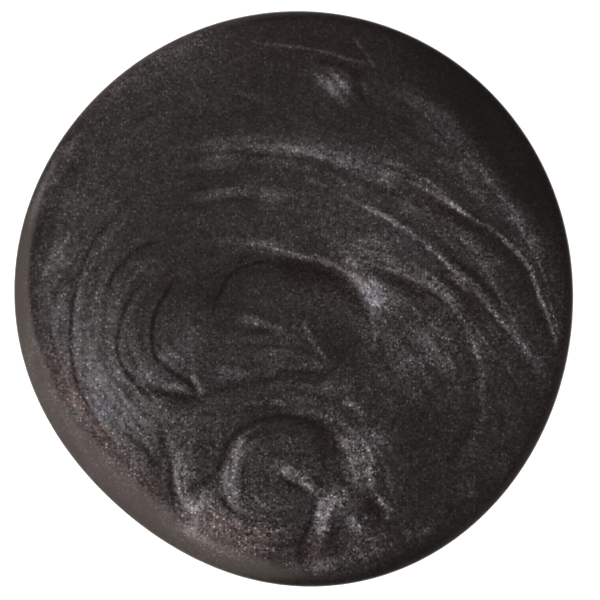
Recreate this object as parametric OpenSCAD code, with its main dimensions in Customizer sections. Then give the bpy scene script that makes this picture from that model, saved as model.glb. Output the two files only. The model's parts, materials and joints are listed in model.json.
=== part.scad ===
// Round ink cake with a marbled pearl face.
//
// A plain pressed ink base carries a face of pearl ink. Folds and veins of other pearl inks are
// laid into the face, flush with its top. The cake lies on the XY plane, face up, with its origin
// under the middle of its box. All sizes are in millimetres.

/* [Cake] */
// Mean radius of the outline
mean_radius = 19.68; // [15:0.01:30]
// Height from the resting face to the pearl face
cake_height = 9; // [8:0.5:14]
// Height of the joint between the base and the pearl face
joint_height = 5; // [3.5:0.5:5.5]
// Out-of-round, two swells, as a share of the radius
oval = 0.0167; // [0:0.0001:0.03]
// Direction of the oval's long axis
oval_turn = 103; // [0:1:180]
// Out-of-round, three swells, as a share of the radius
lobing = 0.0095; // [0:0.0001:0.02]
// Direction of the first of the three swells
lobing_turn = 52; // [0:1:120]
// Out-of-round, four swells, as a share of the radius
squareness = 0.0025; // [0:0.0001:0.006]
// Direction of the first of the four swells
square_turn = 9; // [0:1:90]
// Depth of the flattened stretch, as a share of the radius
flat_depth = 0.0152; // [0:0.0001:0.02]
// Direction of the flattened stretch
flat_turn = 231; // [0:1:360]

/* [Rim] */
// Width over which the face rolls down to the corner
roll_width = 1; // [0.6:0.1:1.5]
// Extra width of the roll where it is broadest
roll_swell = 1.6; // [0:0.1:2]
// Direction in which the roll is broadest
swell_turn = 236; // [0:1:360]
// Slope of the roll where it meets the corner
roll_slope = 42; // [30:1:60]
// Radius of the corner between the roll and the wall
corner_radius = 0.25; // [0.15:0.05:0.8]
// How far the wall leans in from the corner to the foot
wall_draft = 0.25; // [0:0.05:0.6]
// Radius of the foot's edge
foot_radius = 0.8; // [0.4:0.1:1.5]

/* [Inlays] */
// Depth of the folds and veins laid into the face
inlay_depth = 0.8; // [0.4:0.1:1.2]
// Plain face left between any inlay and the roll
inlay_margin = 0.3; // [0.1:0.1:0.6]

/* [Hidden] */

flat_spread = 29;    // half width of the flattened stretch, in degrees
swell_spread = 42;   // half width of the broad part of the roll, in degrees
drawn_radius = 19.68; // mean radius that the folds and veins are drawn for
sides = 96;          // points round the outline
roll_steps = 7;      // bands in the roll
corner_steps = 3;    // bands in the corner
foot_steps = 4;      // bands in the foot's edge
curve_steps = 4;     // points to each span of a drawn curve

ink_black = [0.07, 0.06, 0.06];
pearl_grey = [0.22, 0.21, 0.21];
pearl_dark = [0.15, 0.14, 0.14];
pearl_light = [0.34, 0.34, 0.35];
pearl_white = [0.62, 0.62, 0.64];
copper = [0.42, 0.28, 0.24];

// Outlines of the folds, as points [x, y] that a closed curve passes through.
centre_fold_points = [
    [-6.6, -6.8], [-5.9, -5.2], [-5.6, -3.2], [-5.8, -1.2], [-5.5, 0.1], [-4.9, 1.1], [-4, 2],
    [-2.6, 2.5], [-1, 2.65], [0.4, 2.65], [1.8, 2.4], [3, 1.85], [3.9, 1], [4.6, 0], [5.1, -1.3],
    [5.2, -2.6], [4.9, -3.7], [4, -4.5], [2.6, -4.9], [0.8, -5.05], [-0.8, -5.1], [-2.4, -5.5],
    [-3.9, -6.15], [-5.3, -6.6]
];
left_fold_points = [
    [-8.4, 1], [-9.2, -0.2], [-9.75, -1.4], [-9.8, -2.8], [-9.4, -4.2], [-8.4, -5.1], [-7.3, -5.8],
    [-6.3, -6.5], [-5, -5], [-5, -3], [-5.2, -1], [-6.3, 0.5], [-7.3, 1.2]
];
knot_fold_points = [
    [-1, -8.15], [0.2, -8.25], [1.4, -8.65], [2.4, -9.3], [3, -10.2], [3.2, -11.2], [3, -12.3],
    [2.2, -13.1], [1.6, -14.1], [1.2, -15.2], [0.7, -16.2], [-0.2, -17], [-1.8, -17.3],
    [-3.6, -16.9], [-5.2, -15.9], [-6.1, -14.5], [-6.2, -13.3], [-5.4, -12.3], [-5, -11.5],
    [-4.75, -10.7], [-4.2, -9.8], [-3.4, -9], [-2.2, -8.35]
];
right_fold_points = [
    [6.3, 1.5], [7.3, 1.2], [8.6, 0.5], [9.9, -0.5], [10.9, -1.6], [11.7, -2.9], [12.3, -4.3],
    [12.65, -5.6], [12.7, -7], [12.3, -8.6], [11.6, -10.2], [10, -11.3], [8.2, -11.6], [6.8, -10.9],
    [6, -9.2], [5.8, -7.4], [5.9, -5.2], [6.2, -3.4], [6.4, -1.6], [6.3, 0]
];
neck_fold_points = [
    [-6.2, -6.2], [-3.6, -5.6], [-0.8, -4.6], [2, -4.4], [4, -5.2], [4.7, -6.6], [4.3, -8.2],
    [3.2, -8.9], [2, -9.8], [-1, -9], [-4, -10.6], [-4.8, -12], [-5.6, -13], [-6.9, -12.8],
    [-7.2, -11.4], [-7.3, -9.6], [-7.3, -8]
];
crescent_fold_points = [
    [-13.3, 4.4], [-14.4, 2.8], [-15.1, 0.6], [-15.5, -1.8], [-15.45, -3.8], [-14.9, -5.6],
    [-14.1, -7.2], [-12.9, -8.9], [-11.5, -10.4], [-10.1, -11.4], [-8.9, -12.2], [-8.7, -10.8],
    [-8.9, -9.4], [-9.5, -8.1], [-10.4, -7.1], [-11.4, -6.1], [-12.1, -5], [-12.35, -3.8],
    [-12.3, -2.4], [-12.2, -0.6], [-12.4, 1.4], [-12.6, 3.2]
];
dark_eye_points = [[4.9, -14.4], [5.7, -14.4], [6, -15.1], [5.8, -15.9], [5.2, -16.1], [4.7, -15.4]];

// Veins, each a list of points [x, y, width] along its middle.
sweep_vein_lines = [
    [
        [5.3, 9.4, 0.1], [7, 9.15, 0.25], [8.6, 8.4, 0.3], [10.2, 7.15, 0.45], [11.6, 6.2, 0.4],
        [13.2, 5.15, 0.3], [14.6, 4.2, 0.3], [15.8, 3, 0.3], [16.6, 1.6, 0.3], [17.15, 0.2, 0.25],
        [17.5, -1.1, 0.1]
    ],
    [
        [3.4, 7.2, 0.1], [4.8, 6.6, 0.3], [6.4, 5.6, 0.35], [8.1, 4.45, 0.35], [9.7, 3.35, 0.4],
        [11.1, 2.1, 0.4], [12.4, 0.65, 0.45], [13.8, -0.75, 0.35], [15.1, -2.15, 0.4],
        [16.2, -3.6, 0.3], [16.9, -4.8, 0.1]
    ],
    [
        [6.6, 6.8, 0.1], [8.4, 6.2, 0.4], [10.2, 5.1, 0.45], [11.9, 4.1, 0.45], [13.3, 3.1, 0.4],
        [14.3, 2.2, 0.1]
    ],
    [
        [12.8, 2.2, 0.1], [13.7, 1.3, 0.3], [14.7, 0, 0.35], [15.6, -1.4, 0.4], [16.4, -2.8, 0.35],
        [17.1, -4.1, 0.1]
    ],
    [
        [8.4, 13.2, 0.1], [10.2, 12, 0.5], [11.6, 10.5, 0.7], [13, 8.8, 0.8], [14.4, 7.1, 0.8],
        [15.6, 5.4, 0.7], [16.5, 3.8, 0.5], [17.1, 2.2, 0.35], [17.6, 0.5, 0.1]
    ]
];
crest_vein_lines = [
    [
        [-7.6, 9.7, 0.1], [-5.4, 10.3, 0.6], [-3, 10.75, 0.8], [-0.8, 10.8, 0.9], [1.3, 10.4, 1],
        [3.3, 9.75, 0.8], [4.7, 9.15, 0.1]
    ],
    [[5, 8.75, 0.1], [6.2, 8.4, 0.4], [7.4, 8.2, 0.1]],
    [[-7, 7.1, 0.1], [-5.4, 7.35, 0.6], [-3.8, 7.6, 0.7], [-2.4, 7.4, 0.8], [-1, 7.1, 0.3]]
];
fold_edge_vein_lines = [
    [
        [-4.2, 4, 0.1], [-2.6, 3.95, 0.4], [-1.1, 3.6, 0.4], [0.4, 3.25, 0.35], [1.8, 2.95, 0.3],
        [3.1, 2.5, 0.4], [4.2, 1.75, 0.7], [5.1, 0.8, 1.2], [5.6, -0.4, 0.8], [5.8, -1.8, 0.4],
        [5.6, -3.2, 0.1]
    ],
    [
        [6.4, 2.3, 0.1], [7.4, 1.95, 0.35], [8.6, 1.35, 0.5], [9.8, 0.6, 0.6], [10.8, -0.2, 0.5],
        [11.6, -1.2, 0.3], [12.3, -2.4, 0.25], [12.8, -3.7, 0.3], [13.1, -5.1, 0.35],
        [13.25, -6.6, 0.3], [13.1, -7.8, 0.1]
    ]
];
knot_vein_lines = [
    [
        [1.9, -8.3, 0.1], [2.8, -8.8, 0.4], [3.7, -9.7, 0.5], [4.1, -10.8, 0.7], [4.35, -12, 0.6],
        [4.5, -12.9, 0.1]
    ],
    [
        [4.4, -9.2, 0.1], [4.95, -10.3, 0.3], [5.3, -11.4, 0.4], [5.4, -12.6, 0.35],
        [5.5, -13.5, 0.3], [6.3, -14.2, 0.3], [6.6, -15, 0.35], [6.5, -15.7, 0.1]
    ],
    [
        [-3.3, -10.1, 0.1], [-3.9, -11.1, 0.6], [-4.3, -12.2, 0.7], [-4.35, -13.3, 0.6],
        [-4, -14.3, 0.4], [-3.5, -14.9, 0.1]
    ],
    [[-1.1, -11.8, 0.1], [-0.5, -12.35, 0.55], [0.3, -12.7, 0.6], [1.3, -13.2, 0.1]],
    [[2.6, -13.7, 0.1], [2.3, -14.5, 0.8], [2.05, -15.4, 0.9], [1.8, -16.2, 0.5], [1.5, -16.9, 0.1]],
    [[-8.1, -10, 0.1], [-7.9, -11.3, 0.7], [-7.7, -12.6, 0.8], [-7.4, -13.8, 0.8], [-7, -14.9, 0.2]]
];
copper_vein_lines = [
    [
        [-15.8, -4.6, 0.1], [-15.4, -5.7, 0.4], [-14.75, -7, 0.5], [-13.9, -8.2, 0.5],
        [-12.9, -9.4, 0.5], [-11.8, -10.5, 0.4], [-10.9, -11.2, 0.1]
    ],
    [[-1.8, 18.1, 0.1], [0.6, 18.1, 0.6], [2.8, 17.7, 0.8], [4.5, 17.05, 0.8], [5.6, 16.3, 0.2]],
    [[-5.3, -15.3, 0.1], [-4.3, -16, 0.5], [-2.9, -16.5, 0.6], [-1.4, -16.6, 0.5], [-0.2, -16.1, 0.1]],
    [[1.3, -17.6, 0.1], [2.4, -17.4, 0.7], [3.3, -16.7, 0.8], [3.8, -15.8, 0.2]]
];
top_wisp_lines = [
    [[1.2, 16.4, 0.1], [2.2, 15.9, 0.8], [2.9, 15.1, 1.1], [3.4, 14.2, 0.9], [3.6, 13.4, 0.1]],
    [[-2.4, 17.4, 0.1], [-0.4, 17.35, 0.2], [1.4, 17.1, 0.2], [2.8, 16.7, 0.2], [3.9, 16.35, 0.1]]
];

// A point's share from 0 to 1, highest at a turn and fading to both sides of it.
function bell(angle, turn, spread) =
    let (apart = (angle - turn + 540) % 360 - 180) exp(-pow(apart / spread, 2));

// Radius of the outline in a direction.
function outline_radius(a) =
    mean_radius * (1 + oval * cos(2 * (a - oval_turn)) + lobing * cos(3 * (a - lobing_turn))
        + squareness * cos(4 * (a - square_turn)) - flat_depth * bell(a, flat_turn, flat_spread));

function roll_at(a) = roll_width + roll_swell * bell(a, swell_turn, swell_spread);
function roll_radius(a) = roll_at(a) / sin(roll_slope);
function corner_reach() = corner_radius * (1 - sin(roll_slope));

// Radius at which the flat part of the face ends.
function face_radius(a) = outline_radius(a) - corner_reach() - roll_at(a);

// Height at which the roll meets the corner, and the corner meets the wall.
function corner_top(a) = cake_height - roll_radius(a) * (1 - cos(roll_slope));
function corner_foot(a) = corner_top(a) - corner_radius * cos(roll_slope);

// Radius of the wall at a height.
function wall_radius(a, z) =
    outline_radius(a) - wall_draft * (corner_foot(a) - z) / (corner_foot(a) - foot_radius);

directions = [for (i = [0 : sides - 1]) i * 360 / sides];

// Middle of the outline's box, so that the cake is centred on the origin.
edge_x = [for (a = directions) outline_radius(a) * cos(a)];
edge_y = [for (a = directions) outline_radius(a) * sin(a)];
middle = [(min(edge_x) + max(edge_x)) / 2, (min(edge_y) + max(edge_y)) / 2];

// One ring of the cake's skin from a direction, a radius and a height.
function skin_point(a, r, z) = [r * cos(a) - middle.x, r * sin(a) - middle.y, z];

function roll_ring(share) = [
    for (a = directions)
        let (slope = roll_slope * share, r = roll_radius(a))
        skin_point(a, face_radius(a) + r * sin(slope), cake_height - r * (1 - cos(slope)))
];
function corner_ring(share) = [
    for (a = directions)
        let (slope = roll_slope + (90 - roll_slope) * share)
        skin_point(
            a,
            outline_radius(a) - corner_radius * (1 - sin(slope)),
            corner_foot(a) + corner_radius * cos(slope)
        )
];
function wall_ring(z) = [for (a = directions) skin_point(a, wall_radius(a, z), z)];
function foot_ring(share) = [
    for (a = directions)
        skin_point(
            a,
            wall_radius(a, foot_radius) - foot_radius * (1 - cos(90 * share)),
            foot_radius * (1 - sin(90 * share))
        )
];

// A point on the curve between p1 and p2 of four points that follow each other.
function between(p0, p1, p2, p3, t) =
    0.5 * (2 * p1 + (p2 - p0) * t + (2 * p0 - 5 * p1 + 4 * p2 - p3) * t * t
        + (3 * p1 - p0 - 3 * p2 + p3) * t * t * t);

function closed_curve(p) = [
    for (i = [0 : len(p) - 1], s = [0 : curve_steps - 1])
        let (n = len(p))
        between(p[(i + n - 1) % n], p[i], p[(i + 1) % n], p[(i + 2) % n], s / curve_steps)
];
function open_curve(p) = [
    for (i = [0 : len(p) - 2], s = [0 : curve_steps - 1])
        between(p[max(i - 1, 0)], p[i], p[i + 1], p[min(i + 2, len(p) - 1)], s / curve_steps),
    p[len(p) - 1]
];

// Both edges of a vein, left edge first and right edge coming back.
function vein_edges(line) =
    let (
        c = open_curve(line),
        last = len(c) - 1,
        left = [
            for (i = [0 : last])
                let (
                    run = c[min(i + 1, last)] - c[max(i - 1, 0)],
                    along = [run.x, run.y] / norm([run.x, run.y])
                )
                [-along.y, along.x] * c[i][2] / 2
        ]
    )
    [
        for (i = [0 : last]) [c[i].x, c[i].y] + left[i],
        for (i = [last : -1 : 0]) [c[i].x, c[i].y] - left[i]
    ];

// A solid whose skin passes through rings of points, from its lowest ring to its highest.
module ring_solid(rings) {
    n = len(rings[0]);
    last = len(rings) - 1;
    sides_of = [
        for (k = [0 : last - 1], i = [0 : n - 1])
            let (a = k * n + i, b = k * n + (i + 1) % n)
            each [[a, a + n, b], [b, a + n, b + n]]
    ];
    bottom = [for (i = [0 : n - 1]) i];
    top = [for (i = [n - 1 : -1 : 0]) last * n + i];
    polyhedron(points = [for (ring = rings) each ring], faces = concat([bottom], sides_of, [top]));
}

module fold_shape(points) {
    polygon(closed_curve(points * mean_radius / drawn_radius));
}

module vein_shapes(lines) {
    for (line = lines) polygon(vein_edges(line * mean_radius / drawn_radius));
}

// The flat part of the face that inlays may use.
module inlay_field() {
    polygon([
        for (a = directions)
            let (r = face_radius(a) - inlay_margin)
            [r * cos(a) - middle.x, r * sin(a) - middle.y]
    ]);
}

module all_veins() {
    vein_shapes(sweep_vein_lines);
    vein_shapes(crest_vein_lines);
    vein_shapes(fold_edge_vein_lines);
    vein_shapes(knot_vein_lines);
    vein_shapes(copper_vein_lines);
    vein_shapes(top_wisp_lines);
}

module all_folds() {
    fold_shape(centre_fold_points);
    fold_shape(left_fold_points);
    fold_shape(knot_fold_points);
    fold_shape(right_fold_points);
    fold_shape(neck_fold_points);
    fold_shape(crescent_fold_points);
    fold_shape(dark_eye_points);
}

// Fills its shape from the bottom of the inlays to the face.
module inlay() {
    translate([0, 0, cake_height - inlay_depth])
        linear_extrude(inlay_depth)
            intersection() {
                union() children();
                inlay_field();
            }
}

module veins(lines) {
    inlay() vein_shapes(lines);
}

// A fold, less every vein that crosses it and less the folds named as its children.
module fold(points) {
    inlay()
        difference() {
            fold_shape(points);
            all_veins();
            children();
        }
}

module ink_base() {
    color(ink_black)
        ring_solid(concat(
            [for (s = [foot_steps : -1 : 0]) foot_ring(s / foot_steps)],
            [wall_ring(joint_height)]
        ));
}

module pearl_face() {
    color(pearl_grey)
        difference() {
            ring_solid(concat(
                [wall_ring(joint_height)],
                [for (s = [corner_steps : -1 : 1]) corner_ring(s / corner_steps)],
                [for (s = [roll_steps : -1 : 0]) roll_ring(s / roll_steps)]
            ));
            translate([0, 0, cake_height - inlay_depth])
                linear_extrude(2 * inlay_depth)
                    intersection() {
                        union() {
                            all_folds();
                            all_veins();
                        }
                        inlay_field();
                    }
        }
}

module centre_fold() {
    color(pearl_dark) fold(centre_fold_points);
}

module left_fold() {
    color(pearl_grey) fold(left_fold_points) fold_shape(centre_fold_points);
}

module knot_fold() {
    color(pearl_dark) fold(knot_fold_points);
}

module right_fold() {
    color(pearl_light) fold(right_fold_points);
}

module neck_fold() {
    color(pearl_grey)
        fold(neck_fold_points) {
            fold_shape(centre_fold_points);
            fold_shape(left_fold_points);
            fold_shape(knot_fold_points);
        }
}

module crescent_fold() {
    color(pearl_light) fold(crescent_fold_points);
}

module dark_eye() {
    color(ink_black) fold(dark_eye_points);
}

module sweep_veins() {
    color(pearl_white) veins(sweep_vein_lines);
}

module crest_veins() {
    color(pearl_white) veins(crest_vein_lines);
}

module fold_edge_veins() {
    color(pearl_white) veins(fold_edge_vein_lines);
}

module knot_veins() {
    color(pearl_white) veins(knot_vein_lines);
}

module copper_veins() {
    color(copper) veins(copper_vein_lines);
}

module top_wisps() {
    color(pearl_white) veins(top_wisp_lines);
}

ink_base();
pearl_face();
centre_fold();
left_fold();
knot_fold();
right_fold();
neck_fold();
crescent_fold();
dark_eye();
sweep_veins();
crest_veins();
fold_edge_veins();
knot_veins();
copper_veins();
top_wisps();
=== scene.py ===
import json
import math

import bpy
import numpy as np
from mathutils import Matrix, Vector
from mathutils.geometry import delaunay_2d_cdt


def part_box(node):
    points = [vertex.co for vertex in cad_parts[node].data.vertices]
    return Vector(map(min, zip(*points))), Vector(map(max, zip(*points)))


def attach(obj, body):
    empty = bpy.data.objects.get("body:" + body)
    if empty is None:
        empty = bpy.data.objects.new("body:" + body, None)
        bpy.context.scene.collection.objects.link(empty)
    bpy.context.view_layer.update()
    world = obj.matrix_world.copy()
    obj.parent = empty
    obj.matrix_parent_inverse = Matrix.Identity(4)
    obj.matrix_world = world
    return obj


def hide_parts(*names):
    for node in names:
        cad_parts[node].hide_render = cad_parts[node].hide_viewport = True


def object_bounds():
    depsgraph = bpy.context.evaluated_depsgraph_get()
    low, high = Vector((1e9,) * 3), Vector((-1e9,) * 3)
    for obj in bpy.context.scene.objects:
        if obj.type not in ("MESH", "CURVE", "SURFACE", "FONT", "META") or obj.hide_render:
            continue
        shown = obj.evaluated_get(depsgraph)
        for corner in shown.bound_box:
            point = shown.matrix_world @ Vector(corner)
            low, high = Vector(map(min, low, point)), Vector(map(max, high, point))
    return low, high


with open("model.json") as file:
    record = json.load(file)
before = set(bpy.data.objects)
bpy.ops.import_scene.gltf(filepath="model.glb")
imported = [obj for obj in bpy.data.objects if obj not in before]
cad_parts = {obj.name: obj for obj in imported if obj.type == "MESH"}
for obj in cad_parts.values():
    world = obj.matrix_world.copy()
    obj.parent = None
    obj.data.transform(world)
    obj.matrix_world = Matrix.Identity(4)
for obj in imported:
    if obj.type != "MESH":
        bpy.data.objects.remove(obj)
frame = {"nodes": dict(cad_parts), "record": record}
cad_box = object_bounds()

# Lengths are in millimetres, as in the CAD, up to where the materials begin. Meshes are in metres.
MM = 0.001

# The cake's outline and profile. Turns and spreads are in degrees.
MEAN_RADIUS = 19.68
OVAL, OVAL_TURN = 0.0167, 103
LOBING, LOBING_TURN = 0.0095, 52
SQUARENESS, SQUARE_TURN = 0.0025, 9
FLAT_DEPTH, FLAT_TURN, FLAT_SPREAD = 0.0152, 231, 29
ROLL_WIDTH, ROLL_SWELL, SWELL_TURN, SWELL_SPREAD = 1.0, 1.6, 236, 42
ROLL_SLOPE = math.radians(42)
CORNER_RADIUS = 0.25
WALL_DRAFT = 0.25
FOOT_RADIUS = 0.8
TOP = cad_box[1][2] / MM
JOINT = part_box("ink_base")[1][2] / MM
INLAY_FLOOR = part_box("centre_fold")[0][2] / MM

# Mesh density.
AROUND = 720  # points round the outline
ROLL_STEPS, CORNER_STEPS, WALL_STEPS, FOOT_STEPS = 14, 6, 16, 7
JOINT_BEVEL = 0.08  # size of the chamfers where base and face meet
GRID = 0.15  # spacing of the face's points
GRID_HALF = 20  # half size of the square that they start from
CROWDING = 0.6 * GRID  # about the least distance between strokes' points, and to the others
EDGE_CLEARANCE = 0.07  # least distance from any of them to an inlay's edge
WALL_RUN = 24  # how many stretches of an inlay's edge are looked at together
MERGE_WITHIN = 1e-5  # edge points nearer than this become one
SAME_HEIGHT = 0.01  # CAD points this near to the top are on it

INLAYS = [
    "centre_fold", "left_fold", "knot_fold", "right_fold", "neck_fold", "crescent_fold", "dark_eye",
    "sweep_veins", "crest_veins", "fold_edge_veins", "knot_veins", "copper_veins", "top_wisps",
]
SLOTS = {entry["node"]: entry["material_slot"] for entry in frame["record"]["subparts"]}

# ---- Marbling. Each stroke is (strength, width, [(x, y), ...]); it fades out towards its two ends.

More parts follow.
